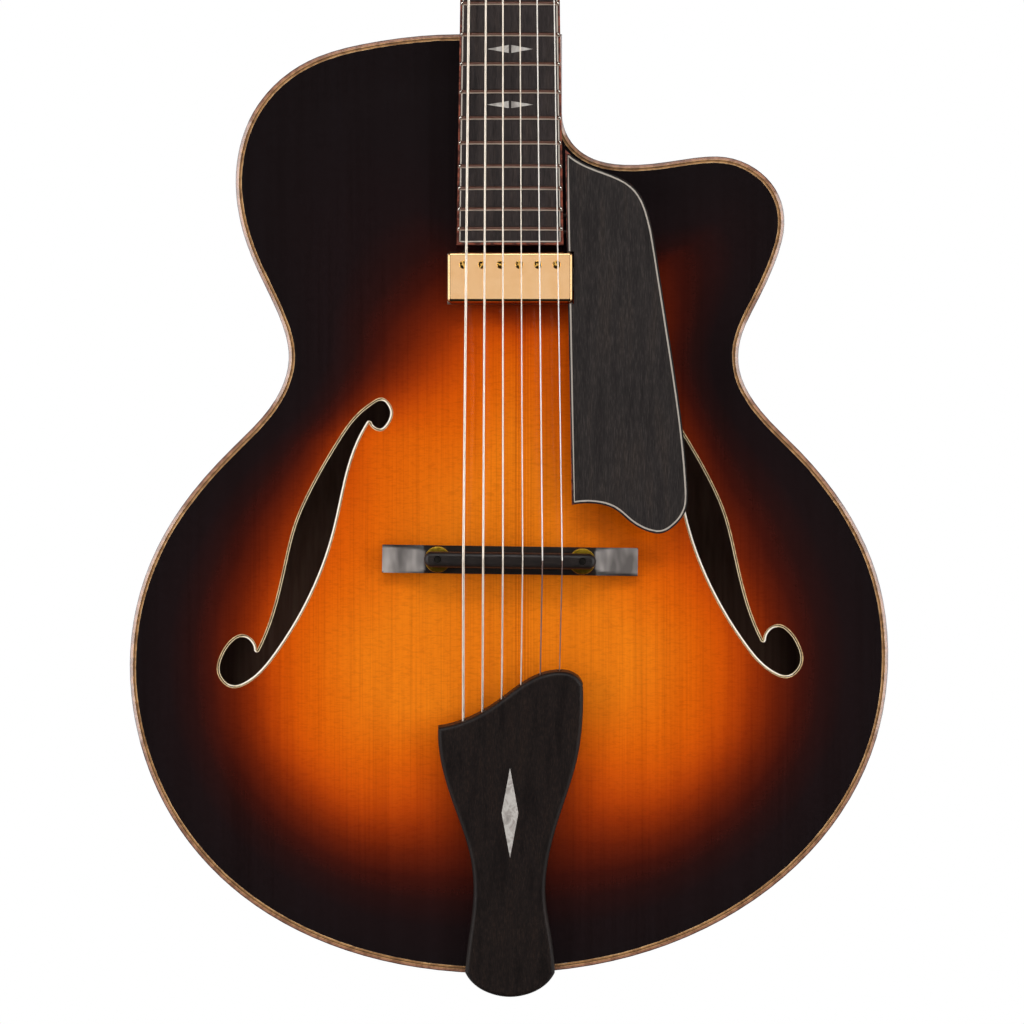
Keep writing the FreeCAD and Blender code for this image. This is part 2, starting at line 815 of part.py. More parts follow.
def neck_shaft():
    sections = []
    for place, depth in ((joint_place, d.neck_depth_heel), (d.scale_length, d.neck_depth_nut)):
        at = NECK.multiply(Placement(Vector(0, d.board_thickness, place), Rotation()))
        sections.append(half_round(2 * board_half_width(place), depth, SHAFT_FULLNESS, at))
    shaft = Part.makeLoft(sections, True, True)
    swell = [sections[-1]]
    for share, fullness in VOLUTE_SHARES:
        place = share * d.tuner_first
        at = HEAD.multiply(Placement(UP * place, Rotation()))
        swell.append(half_round(2 * head_half_width(place), d.head_thickness, fullness, at))
    volute = Part.makeLoft(swell, True, True)
    face_cut = block(
        -d.head_width, d.head_width, -d.overrun - d.head_thickness, 0, -d.overrun, d.head_length + d.overrun)
    board_cut = block(
        -d.head_width, d.head_width, -d.overrun, d.board_thickness, 0, d.scale_length + d.nut_thickness)
    volute = volute.cut(placed(face_cut, HEAD)).cut(placed(board_cut, NECK))
    head = prism(head_edges(), 0, d.head_thickness)
    below = block(
        -d.head_width, d.head_width, -d.overrun, d.head_thickness + d.overrun, -d.overrun,
        VOLUTE_SHARES[-1][0] * d.tuner_first)
    return shaft.fuse(volute).fuse(placed(head.cut(below), HEAD))


def heel():
    """The heel, lofted down the end of the body from the fingerboard to the back."""
    top_y = NECK.multVec(Vector(0, d.board_thickness, joint_place)).y
    top_width = 2 * board_half_width(joint_place)
    sections = []
    for down, narrow, short in HEEL_SHARES:
        y = top_y + (edge_y - top_y) * down
        width = top_width + (d.heel_width - top_width) * narrow
        length = d.heel_top_length + (d.heel_length - d.heel_top_length) * short
        at = Placement(Vector(0, y, d.body_length), Rotation(RIGHT, 90))
        sections.append(half_round(width, length, SHAFT_FULLNESS, at))
    return Part.makeLoft(sections, True, False)


def tuner_places():
    """Places of the string posts on the headstock, from the first string to the sixth."""
    steps = range(STRINGS // 2)
    treble = [(d.tuner_place, d.tuner_first + d.tuner_step * step) for step in steps]
    bass = [(-x, z) for x, z in reversed(treble)]
    return treble + bass


def truss_rod(clearance):
    """The rod in the neck's channel, from under the nut to the heel."""
    y = d.board_thickness + d.truss_rod_radius + d.truss_rod_cover_gap
    start = NECK.multVec(Vector(0, y, joint_place + d.truss_rod_start))
    end = NECK.multVec(Vector(0, y, d.scale_length - d.nut_thickness))
    return tube(d.truss_rod_radius + clearance, start, end)


def make_neck():
    tongue_half = board_half_width(board_end) - d.tongue_inset
    tongue = block(
        -tongue_half, tongue_half, d.board_thickness, d.board_thickness + d.tongue_thickness,
        board_end + d.tongue_inset, joint_place + d.overrun)
    above_board = block(
        -d.head_width, d.head_width, -2 * d.overrun, d.board_thickness, 0, d.scale_length)
    body_solid = prism(outline(0), -edge_y, edge_y)
    neck = neck_shaft().fuse(heel()).fuse(placed(tongue, NECK))
    neck = neck.cut(placed(above_board, NECK)).cut(body_solid).fuse(tenon(0))
    neck = neck.cut(truss_rod(d.running_clearance))
    for x, z in tuner_places():
        hole = tube(d.bushing_radius, Vector(x, -d.overrun, z), Vector(x, d.head_thickness + d.overrun, z))
        neck = neck.cut(placed(hole, HEAD))
    keep("neck", neck.removeSplitter())
    keep("truss_rod", truss_rod(0))


def make_heel_cap():
    at = Placement(Vector(0, edge_y, d.body_length), Rotation(RIGHT, 90))
    section = half_round(d.heel_width, d.heel_length, SHAFT_FULLNESS, at)
    keep("heel_cap", Part.Face(section).extrude(Vector(0, d.heel_cap_thickness, 0)))


# Fingerboard

LAST_FRET = "scale_length * 2 ^ (-fret_count / 12)"
BOARD_END = f"({LAST_FRET} - board_overhang)"


def board_cylinder(name):
    """The round that the top of the fingerboard is planed to."""
    cylinder = doc.addObject("Part::Cylinder", name)
    cylinder.setExpression("Radius", bound("board_radius"))
    cylinder.setExpression("Height", bound("scale_length + overrun"))
    cylinder.setExpression("Placement.Base.y", bound("board_radius"))
    return cylinder


def board_blank(name, corners):
    body = new_body(name)
    sketch = new_sketch(body, "XZ_Plane")
    add_polygon(sketch, corners)
    add_feature(body, "Pad", sketch, "board_thickness", back=True)
    return body


def crowned(name, blank):
    """A blank of the fingerboard with its face planed round."""
    common = doc.addObject("Part::Common", name)
    common.Base = blank
    common.Tool = board_cylinder(name + "_round")
    doc.recompute()
    return common


def inlay_prisms(depth):
    """Inlays as straight prisms, from above the board down to a depth."""
    prisms = []
    for fret in INLAY_FRETS:
        low = fret_place(fret)
        gap = fret_place(fret - 1) - low
        middle = low + gap / 2
        half_length = gap * INLAY_LENGTH_SHARE / 2
        half_width = board_half_width(middle) * INLAY_WIDTH_SHARE
        for side in (-1, 1):
            near = side * d.inlay_slot / 2
            corners = [
                Vector(near, 0, middle - half_length), Vector(near, 0, middle + half_length),
                Vector(side * half_width, 0, middle)]
            wire = Part.makePolygon(corners + corners[:1])
            prisms.append(prism(wire, -d.board_thickness, depth))
    return prisms


def guard_pins(clearance):
    """Pins between the side of the fingerboard and the pickguard."""
    pins = []
    y = d.guard_drop + d.guard_thickness / 2
    for step in range(2):
        z = board_end + d.guard_pin_inset + step * d.guard_pin_step
        x = d.guard_left - d.guard_pin_length / 2
        start = Vector(x, y, z)
        pins.append(tube(d.guard_pin_radius + clearance, start, start + Vector(d.guard_pin_length, 0, 0)))
    return pins


def make_fingerboard():
    inner_end = f"({BOARD_END} + board_binding)"
    inner_half_nut = "(nut_width / 2 - board_binding)"
    inner_half_end = "(board_end_width / 2 - board_binding)"
    board = crowned("board_crowned", board_blank("board_blank", [
        ("-" + inner_half_nut, "scale_length"), (inner_half_nut, "scale_length"),
        (inner_half_end, inner_end), ("-" + inner_half_end, inner_end)]))
    binding = crowned("binding_crowned", board_blank("binding_blank", [
        ("-nut_width / 2", "scale_length"), ("-" + inner_half_nut, "scale_length"),
        ("-" + inner_half_end, inner_end), (inner_half_end, inner_end),
        (inner_half_nut, "scale_length"), ("nut_width / 2", "scale_length"),
        ("board_end_width / 2", BOARD_END), ("-board_end_width / 2", BOARD_END)]))
    pins = Part.makeCompound(guard_pins(0))
    inlays = Part.makeCompound(inlay_prisms(d.inlay_depth))
    keep("fingerboard", board.Shape.cut(inlays).cut(pins), NECK)
    keep("fingerboard_binding", binding.Shape.cut(pins), NECK)
    crown = board.Shape
    keep("fingerboard_inlays", Part.makeCompound(inlays.common(crown).Solids), NECK)


def make_frets():
    axis_point = Vector(0, d.board_radius, 0)
    frets = []
    for fret in range(1, int(d.fret_count) + 1):
        place = fret_place(fret)
        half = d.fret_width / 2
        left = Vector(0, 0, place - half)
        right = Vector(0, 0, place + half)
        crown = Part.Arc(left, Vector(0, -d.fret_height, place), right).toShape()
        section = Part.Face(Part.Wire([crown, line(right, left)]))
        spread = 2 * math.asin((board_half_width(place) - d.fret_end_gap) / d.board_radius)
        section.rotate(axis_point, UP, -math.degrees(spread) / 2)
        frets.append(section.revolve(axis_point, UP, math.degrees(spread)))
    keep("frets", Part.makeCompound(frets), NECK)


def string_share(string):
    """Place of a string from the first, on the treble side at 0.5, to the sixth at -0.5."""
    return 0.5 - string / (STRINGS - 1)


def gauge(string):
    return getattr(d, f"string_{string + 1}_gauge")


def make_nut():
    body = new_body("nut_blank")
    sketch = new_sketch(body, "XZ_Plane")
    add_polygon(sketch, [
        ("-nut_width / 2", "scale_length"), ("nut_width / 2", "scale_length"),
        ("nut_width / 2", "scale_length + nut_thickness"),
        ("-nut_width / 2", "scale_length + nut_thickness")])
    add_feature(body, "Pad", sketch, "nut_height + board_thickness", back=True)
    doc.recompute()
    nut = body.Shape.copy()
    nut.translate(FRONT * d.nut_height)
    for string in range(STRINGS):
        x = string_share(string) * d.nut_spread
        half = gauge(string) / 2 + d.glue_gap
        floor = slot_floor(string) + d.glue_gap
        slot = block(x - half, x + half, -d.nut_height - d.overrun, floor,
                     d.scale_length - d.overrun, d.scale_length + d.nut_thickness + d.overrun)
        nut = nut.cut(slot)
    keep("nut", nut, NECK)


def slot_floor(string):
    """Height of a nut slot's floor, below zero in front of the fingerboard's face."""
    x = string_share(string) * d.nut_spread
    return x * x / (2 * d.board_radius) - d.nut_slot_floor


# Headstock facing and tuning machines

def make_head_facing():
    veneer = prism(head_edges(), -d.veneer_thickness, 0)
    for x, z in tuner_places():
        hole = tube(d.bushing_radius, Vector(x, -d.overrun, z), Vector(x, d.overrun, z))
        veneer = veneer.cut(hole)
    keep("headstock_veneer", veneer, HEAD)
    body = new_body("cover")
    sketch = new_sketch(body, "XZ_Plane")
    add_polygon(sketch, [
        ("-cover_width / 2", "glue_gap"), ("cover_width / 2", "glue_gap"),
        ("cover_width / 2", "cover_length / 3"), ("cover_width / 5", "cover_length"),
        ("-cover_width / 5", "cover_length"), ("-cover_width / 2", "cover_length / 3")])
    add_feature(body, "Pad", sketch, "cover_thickness")
    keep_object("truss_rod_cover", body, HEAD.multiply(Placement(FRONT * d.veneer_thickness, Rotation())))


def make_tuners():
    bushing = new_body("bushing")
    sketch = new_sketch(bushing, "XZ_Plane")
    bore = "post_radius + running_clearance"
    add_polygon(sketch, [
        (bore, "-bushing_depth"), ("bushing_radius - running_clearance", "-bushing_depth"),
        ("bushing_radius - running_clearance", "veneer_thickness"),
        ("bushing_flange_radius", "veneer_thickness"),
        ("bushing_flange_radius", "veneer_thickness + bushing_flange / 2"),
        ("bushing_flange_radius - bushing_flange / 2", "veneer_thickness + bushing_flange"),
        (bore, "veneer_thickness + bushing_flange")])
    revolve(bushing, sketch)

    post = new_body("post")
    sketch = new_sketch(post, "XZ_Plane")
    tip = "veneer_thickness + post_height"
    gear_top = "-(head_thickness + gear_place)"
    gear_low = "-(head_thickness + gear_place + gear_thickness)"
    end = "-(head_thickness + housing_depth - housing_wall - gear_gap)"
    add_polygon(sketch, [
        ("0", end), ("post_radius", end), ("post_radius", gear_low), ("gear_radius", gear_low),
        ("gear_radius", gear_top), ("post_radius", gear_top), ("post_radius", f"{tip} - post_chamfer"),
        ("post_radius - post_chamfer", tip), ("0", tip)])
    revolve(post, sketch)
    sketch = new_sketch(post, "YZ_Plane")
    add_circle(sketch, "0", "veneer_thickness + post_height - coil_start", "post_hole_radius")
    add_feature(post, "Pocket", sketch, "4 * post_radius", both=True)

    housing = new_body("housing")
    sketch = new_sketch(housing, "XY_Plane")
    add_polygon(sketch, [
        ("-housing_width / 2", "-housing_low"), ("housing_width / 2", "-housing_low"),
        ("housing_width / 2", "housing_high"), ("-housing_width / 2", "housing_high")])
    pad = add_feature(housing, "Pad", sketch, "housing_depth", back=True)
    doc.recompute()
    back_edges = edges_where(pad.Shape, lambda edge, middle: middle.z < -d.housing_wall)
    dress(housing, "Fillet", pad, back_edges, "housing_round")
    sketch = new_sketch(housing, "XY_Plane")
    add_circle(sketch, "0", "0", "gear_radius + gear_gap")
    add_feature(housing, "Pocket", sketch, "housing_depth - housing_wall")
    sketch = new_sketch(housing, "YZ_Plane")
    worm_depth = "(gear_place + gear_thickness / 2)"
    worm_place = "gear_radius + worm_radius + gear_gap"
    add_circle(sketch, worm_place, "-" + worm_depth, "worm_radius + running_clearance")
    add_feature(housing, "Pocket", sketch, "2 * housing_width", both=True)

    button = new_body("button")
    sketch = new_sketch(button, "XY_Plane")
    reach = "(housing_width / 2 + shaft_length)"
    add_polygon(sketch, [
        ("-housing_width / 2", "0"), ("-housing_width / 2", "worm_radius"),
        ("housing_width / 2", "worm_radius"), ("housing_width / 2", "shaft_radius"),
        (reach, "shaft_radius"), (reach, "0")])
    revolve(button, sketch, "H_Axis")
    sketch = new_sketch(button, "XY_Plane")
    far = f"({reach} + button_length)"
    add_polygon(sketch, [
        (reach, "-button_neck_width / 2"), (f"{reach} + button_length / 3", "-button_width / 2"),
        (f"{far} - button_length / 4", "-button_width / 2"), (far, "-button_width / 3"),
        (far, "button_width / 3"), (f"{far} - button_length / 4", "button_width / 2"),
        (f"{reach} + button_length / 3", "button_width / 2"), (reach, "button_neck_width / 2")])
    pad = add_feature(button, "Pad", sketch, "button_thickness", both=True)
    doc.recompute()
    start = number(reach)
    head_edges_found = edges_where(pad.Shape, lambda edge, middle: middle.x > start + d.shaft_radius)
    dress(button, "Fillet", pad, head_edges_found, "button_round")
    doc.recompute()

    housings = []
    bushings = []
    for string, (x, z) in enumerate(tuner_places(), start=1):
        across = 0 if x > 0 else 180
        front = HEAD.multiply(Placement(Vector(x, 0, z), Rotation(RIGHT, 90)))
        back = HEAD.multiply(Placement(Vector(x, d.head_thickness, z), Rotation(RIGHT, 90)))
        housings.append(placed(housing.Shape, back))
        bushings.append(placed(bushing.Shape, front))
        keep(f"tuner_post_{string}", placed(post.Shape, front))
        worm = Placement(Vector(0, number(worm_place), -number(worm_depth)), Rotation(UP, across))
        keep(f"tuner_button_{string}", placed(button.Shape, back.multiply(worm)))
    keep("tuner_housings", Part.makeCompound(housings))
    keep("tuner_bushings", Part.makeCompound(bushings))


# Strings

def arc_from(start, along, end):
    """The arc that leaves a point along a direction and ends at another point."""
    chord = end - start
    half_turn = along.getAngle(chord)
    chord_way = Vector(chord).normalize()
    outward = along - chord_way * along.dot(chord_way)
    if outward.Length < SMALLEST_SHARE:
        return line(start, end)
    rise = chord.Length / 2 * math.tan(half_turn / 2)
    middle = start + chord * 0.5 + outward.normalize() * rise
    return Part.Arc(start, middle, end).toShape()


def biarc(start, first, end, last):
    """Two arcs from one point and direction to another."""
    chord = end - start
    both = first + last
    spare = 2 * (1 - first.dot(last))
    reach = (-chord.dot(both) + math.sqrt(chord.dot(both) ** 2 + spare * chord.dot(chord))) / spare
    joint = (start + first * reach + end - last * reach) * 0.5
    return [arc_from(start, first, joint), arc_from(end, last * -1, joint)]


def bend(before, corner, after, radius):
    """A tangent arc at a corner of a route, with its two ends."""
    into = (before - corner).normalize()
    out = (after - corner).normalize()
    half = into.getAngle(out) / 2
    reach = radius / math.tan(half)
    start = corner + into * reach
    end = corner + out * reach
    way = (into + out).normalize()
    middle = corner + way * (radius / math.sin(half) - radius)
    return start, Part.Arc(start, middle, end).toShape(), end


def crest_depth(x):
    """Depth of the saddle's rounded crest at a place across the bridge."""
    return crest_y + x * x / (2 * d.board_radius)


def string_points(string):
    """Where a string is anchored, and where its centre line turns at the saddle and the nut."""
    share = string_share(string)
    radius = gauge(string) / 2
    x = share * d.bridge_spread + d.bridge_shift
    saddle = BRIDGE.multVec(Vector(x, crest_depth(x) - radius - d.saddle_gap, 0))
    x = share * d.nut_spread
    nut = NECK.multVec(Vector(x, slot_floor(string) - radius, d.scale_length + d.nut_thickness))
    x = share * d.anchor_spread + d.anchor_shift
    inside = Vector(x, -d.tail_thickness / 2, tail_top(x) - d.anchor_depth)
    return TAIL.multVec(inside), saddle, nut


def string_route(string):
    """A string's centre line, from the tailpiece to the last turn on its post, as edges and points."""
    anchor, saddle, nut = string_points(string)
    post_x, post_z = tuner_places()[string]
    side = 1 if post_x > 0 else -1
    coil_radius = d.post_radius + gauge(string) / 2 + d.coil_gap
    pitch = gauge(string) + d.coil_space
    low = -(d.veneer_thickness + d.post_height - d.coil_start - pitch * d.coil_turns)

    nut_in_head = HEAD.inverse().multVec(nut)
    to_post = Vector(post_x - nut_in_head.x, 0, post_z - nut_in_head.z)
    lean = math.asin(coil_radius / to_post.Length)
    facing = math.atan2(to_post.z, to_post.x) + side * lean
    arrive = Vector(math.cos(facing), 0, math.sin(facing))
    touch = Vector(post_x, low, post_z) + Vector(-side * arrive.z, 0, side * arrive.x) * coil_radius
    start_angle = math.atan2(touch.z - post_z, touch.x - post_x)

    def on_coil(turn):
        angle = start_angle - side * 2 * math.pi * turn
        place = Vector(math.cos(angle) * coil_radius + post_x, low - pitch * turn,
                       math.sin(angle) * coil_radius + post_z)
        around = 2 * math.pi * coil_radius
        along = Vector(side * math.sin(angle) * around, -pitch, -side * math.cos(angle) * around)
        return place, along.normalize()

    touch_in_body = HEAD.multVec(touch)
    saddle_start, saddle_arc, saddle_end = bend(anchor, saddle, nut, d.saddle_bend)
    nut_start, nut_arc, nut_end = bend(saddle, nut, touch_in_body, d.nut_bend)
    edges = [
        line(anchor, saddle_start), saddle_arc, line(saddle_end, nut_start), nut_arc,
        line(nut_end, touch_in_body)]
    place = touch
    along = (touch - HEAD.inverse().multVec(nut_end)).normalize()
    quarters = int(d.coil_turns * 4)
    coil = []
    for quarter in range(1, quarters + 1):
        next_place, next_along = on_coil(quarter / 4)
        for arc in biarc(place, along, next_place, next_along):
            coil.append(placed(arc, HEAD))
        place, along = next_place, next_along
    tail = line(HEAD.multVec(place), HEAD.multVec(place + along * gauge(string)))
    return edges + coil + [tail], coil


def least_coil_gap(string, coil):
    """Least gap between one turn of a winding and the next, measured on points."""
    points = []
    for arc in coil:
        points.extend(arc.discretize(Number=COIL_SAMPLES)[:-1])
    turn = len(points) / d.coil_turns
    least = None
    for first, one in enumerate(points):
        for other in points[int(first + turn / 2):]:
            distance = (one - other).Length - gauge(string)
            least = distance if least is None else min(least, distance)
    return least


def make_strings():
    groups = {"plain_strings": [], "wound_strings": []}
    for string in range(STRINGS):
        edges, coil = string_route(string)
        wire = Part.Wire(edges)
        start = edges[0].valueAt(edges[0].FirstParameter)
        along = edges[0].tangentAt(edges[0].FirstParameter)
        section = Part.Wire(Part.Circle(start, along, gauge(string) / 2).toShape())
        solid = wire.makePipeShell([section], True, False)
        area = math.pi * gauge(string) ** 2 / 4
        print(f"string {string + 1}: length {wire.Length:.1f}, volume over section times length "
              f"{solid.Volume / (area * wire.Length):.4f}, least gap in its winding "
              f"{least_coil_gap(string, coil):.2f}")
        name = "plain_strings" if string < PLAIN_STRINGS else "wound_strings"
        groups[name].append(solid)
    for name, solids in groups.items():
        keep(name, Part.makeCompound(solids))


# Bridge

def make_bridge():
    foot_y = -(edge_y + d.top_arch)
    top_y = foot_y - d.base_height
    half_length = d.base_length / 2
    half_flat = d.base_flat / 2
    half_width = d.base_width / 2
    end_y = foot_y - d.base_end_height
    low_y = -edge_y
    scoop = Vector((half_length + half_flat) / 2, (end_y * 2 + top_y) / 3, 0)
    corners = [
        Vector(-half_length, low_y, 0), Vector(-half_length, end_y, 0), Vector(-half_flat, top_y, 0),
        Vector(half_flat, top_y, 0), Vector(half_length, end_y, 0), Vector(half_length, low_y, 0)]
    edges = [
        line(corners[0], corners[1]),
        Part.Arc(corners[1], Vector(-scoop.x, scoop.y, 0), corners[2]).toShape(),
        line(corners[2], corners[3]),
        Part.Arc(corners[3], scoop, corners[4]).toShape(),
        line(corners[4], corners[5]), line(corners[5], corners[0])]
    base = Part.Face(Part.Wire(edges)).extrude(UP * d.base_width)
    base.translate(UP * -half_width)
    base = placed(base, BRIDGE)
    base = base.cut(behind(lambda distance: outer_depth(d.top_arch)(distance) + d.glue_gap, -1))
    studs = []
    stud_low = top_y + d.base_height / 2
    stud_high = crest_y + d.stud_recess
    for side in (-1, 1):
        x = side * d.stud_spacing / 2
        stud = tube(d.stud_radius, Vector(x, stud_low, 0), Vector(x, stud_high, 0))
        studs.append(placed(stud, BRIDGE))
    for stud in studs:
        base = base.cut(stud)
    keep("bridge_base", base)
    keep("bridge_posts", Part.makeCompound(studs))

    wheel = new_body("wheel")
    sketch = new_sketch(wheel, "XY_Plane")
    add_circle(sketch, "0", "0", "wheel_radius")
    pad = add_feature(wheel, "Pad", sketch, "wheel_thickness")
    doc.recompute()
    rims = edges_where(pad.Shape, lambda edge, middle: edge.isClosed())
    dress(wheel, "Chamfer", pad, rims, "wheel_chamfer")
    sketch = new_sketch(wheel, "XY_Plane")
    add_circle(sketch, "0", "0", "stud_radius + running_clearance")
    add_feature(wheel, "Pocket", sketch, "3 * wheel_thickness", both=True)
    doc.recompute()
    wheel_y = top_y - d.wheel_rise
    for name, side in (("thumbwheel_bass", -1), ("thumbwheel_treble", 1)):
        at = Placement(Vector(side * d.stud_spacing / 2, wheel_y, 0), Rotation(RIGHT, 90))
        keep(name, placed(wheel.Shape, BRIDGE.multiply(at)))

    seat = wheel_y - d.wheel_thickness - d.running_clearance
    half = d.saddle_length / 2
    end = d.saddle_width / 2
    bar = block(-half + end, half - end, crest_y - d.overrun, seat, -end, end)
    for side in (-1, 1):
        x = side * (half - end)
        bar = bar.fuse(tube(end, Vector(x, crest_y - d.overrun, 0), Vector(x, seat, 0)))
    crown_axis = Vector(0, crest_y + d.board_radius, -d.base_width)
    crown = Part.makeCylinder(d.board_radius, 2 * d.base_width, crown_axis, UP)
    bar = bar.removeSplitter().common(crown)
    top_edges = []
    for edge in bar.Edges:
        middle = edge.valueAt((edge.FirstParameter + edge.LastParameter) / 2)
        if middle.y < (crest_y + seat) / 2 and abs(edge.tangentAt(edge.FirstParameter).y) < STEEP_SHARE:
            top_edges.append(edge)
    bar = bar.makeFillet(d.saddle_round, top_edges)
    for side in (-1, 1):
        x = side * d.stud_spacing / 2
        hole = tube(d.stud_radius + d.running_clearance,
                    Vector(x, crest_y - d.overrun, 0), Vector(x, seat + d.overrun, 0))
        bar = bar.cut(hole)
    keep("bridge_saddle", placed(bar, BRIDGE))


# Tailpiece and output jack

def tail_edges():
    edges = []
    for shares in (TAIL_RIGHT_SHARES, TAIL_END_SHARES, TAIL_LEFT_SHARES, TAIL_TOP_SHARES):
        edges.append(spline(share_points(shares, d.tail_width, d.tail_length, 0, -d.tail_drop)))
    return edges


def tail_top(x):
    """Height of the tailpiece's slanted upper edge at a place across it, in its own frame."""
    top = tail_edges()[-1]
    reach = line(Vector(x, 0, 0), Vector(x, 0, 2 * d.tail_length))
    return top.distToShape(reach)[1][0][0].z


def lozenge(depth):
    """Inlay of the tailpiece as a prism down to a depth below its face."""
    middle = d.tail_length / 2 - d.tail_drop + d.tail_inlay_rise
    half_length = d.tail_inlay_length / 2
    half_width = d.tail_inlay_width / 2
    corners = [
        Vector(0, 0, middle - half_length), Vector(half_width, 0, middle),
        Vector(0, 0, middle + half_length), Vector(-half_width, 0, middle)]
    wire = Part.makePolygon(corners + corners[:1])
    return prism(wire, -d.tail_thickness, -d.tail_thickness + depth)


def make_tailpiece():
    plate = prism(closed(tail_edges()), -d.tail_thickness, 0)
    face_edges = []
    for edge in plate.Edges:
        middle = edge.valueAt((edge.FirstParameter + edge.LastParameter) / 2)
        if middle.y < -d.tail_thickness + d.glue_gap:
            face_edges.append(edge)
    plate = plate.makeFillet(d.tail_round, face_edges)
    plate = plate.cut(lozenge(d.tail_inlay_depth))
    plate = placed(plate, TAIL)
    for string in range(STRINGS):
        anchor, saddle, nut = string_points(string)
        plate = plate.cut(tube(d.tail_hole_radius, anchor, saddle))

    half = d.bracket_width / 2
    foot = block(-half, half, -d.bracket_thickness, 0, -d.bracket_thickness, d.bracket_reach)
    leg_low = -(d.glue_gap + d.bracket_thickness)
    leg = block(-half, half, tail_y - d.bracket_thickness, tail_y + d.bracket_leg, leg_low, -d.glue_gap)
    bracket = placed(foot, TAIL).fuse(leg)
    keep("tailpiece", plate.cut(bracket))
    keep("tailpiece_inlay", placed(lozenge(d.tail_inlay_depth), TAIL))
    keep("tailpiece_bracket", bracket.cut(jack_hole(d.glue_gap)).removeSplitter())


def make_jack():
    body = new_body("jack")
    sketch = new_sketch(body, "XZ_Plane")
    face = "-(glue_gap + bracket_thickness)"
    mouth = f"({face} - jack_flange)"
    add_polygon(sketch, [
        ("jack_bore_radius", mouth), ("jack_flange_radius - jack_flange / 2", mouth),
        ("jack_flange_radius", f"{mouth} + jack_flange / 2"), ("jack_flange_radius", face),
        ("jack_radius", face), ("jack_radius", "jack_length"), ("jack_bore_radius", "jack_length")])
    revolve(body, sketch)
    keep_object("output_jack", body)

    body = new_body("jack_fixing")
    sketch = new_sketch(body, "XY_Plane")
    half = "jack_nut_width / 2"
    slant = f"jack_nut_width * {HEXAGON_SHARE:.6f}"
    add_polygon(sketch, [
        (half, slant), ("0", "2 * " + slant), ("-" + half, slant),
        ("-" + half, "-" + slant), ("0", "-2 * " + slant), (half, "-" + slant)])
    add_circle(sketch, "0", "0", "jack_radius")
    add_feature(body, "Pad", sketch, "jack_nut_thickness")
    lift = UP * (d.side_thickness + d.tail_block_length + d.glue_gap)
    keep_object("jack_nut", body, Placement(lift, Rotation()))

    body = new_body("strap")
    sketch = new_sketch(body, "XZ_Plane")
    profile = [(f"{radius} * {out}", f"strap_length * {along}") for radius, out, along in STRAP_SHARES]
    add_polygon(sketch, [("0", "0")] + profile + [("0", "strap_length")])
    revolve(body, sketch)
    foot = Vector(0, edge_y + d.heel_cap_thickness, d.body_length + d.heel_length / 2)
    keep_object("strap_button", body, Placement(foot, Rotation(RIGHT, -90)))


# Pickguard, in the neck's frame

def guard_back():
    return d.guard_drop + d.guard_thickness


def make_pickguard():
    edge = spline(share_points(GUARD_SHARES, d.guard_width, d.guard_length, d.guard_left, d.guard_low))
    tip = edge.valueAt(edge.FirstParameter)
    corner = edge.valueAt(edge.LastParameter)
    beside = offset_curve(edge, d.guard_binding, SMALL_CURVE_SAMPLES)
    band_tip = beside.valueAt(beside.FirstParameter)
    band_corner = beside.valueAt(beside.LastParameter)
    band = closed([edge, line(corner, band_corner), beside, line(band_tip, tip)])
    across = RIGHT * d.guard_binding
    left_band = Part.makePolygon([tip, corner, corner + across, tip + across, tip])
    whole = prism(closed([edge, line(corner, tip)]), d.guard_drop, guard_back())
    half_length = d.pickup_length / 2 + d.pickup_notch_gap
    half_width = d.pickup_width / 2 + d.pickup_notch_gap
    notch = block(-half_length, half_length, -d.overrun, d.overrun,
                  d.pickup_place - half_width, d.pickup_place + half_width)
    for pin in guard_pins(0):
        whole = whole.cut(pin)
    whole = whole.cut(notch)
    inner = whole
    for strip in (band, left_band):
        inner = inner.cut(prism(strip, 0, guard_back() + d.overrun))
    keep("pickguard", inner, NECK)
    keep("pickguard_binding", Part.makeCompound(whole.cut(inner).Solids), NECK)
    keep("pickguard_pins", Part.makeCompound(guard_pins(0)), NECK)
    foot = Vector(d.guard_support_place, guard_back(), d.guard_support_height)
    support = tube(d.guard_support_radius, foot, foot - FRONT * d.bridge_height)
    above_top = behind(lambda distance: outer_depth(d.top_arch)(distance) + d.glue_gap, -1)
    keep("pickguard_support", placed(support, NECK).cut(above_top))


# Pickup, in the neck's frame with its middle under the strings

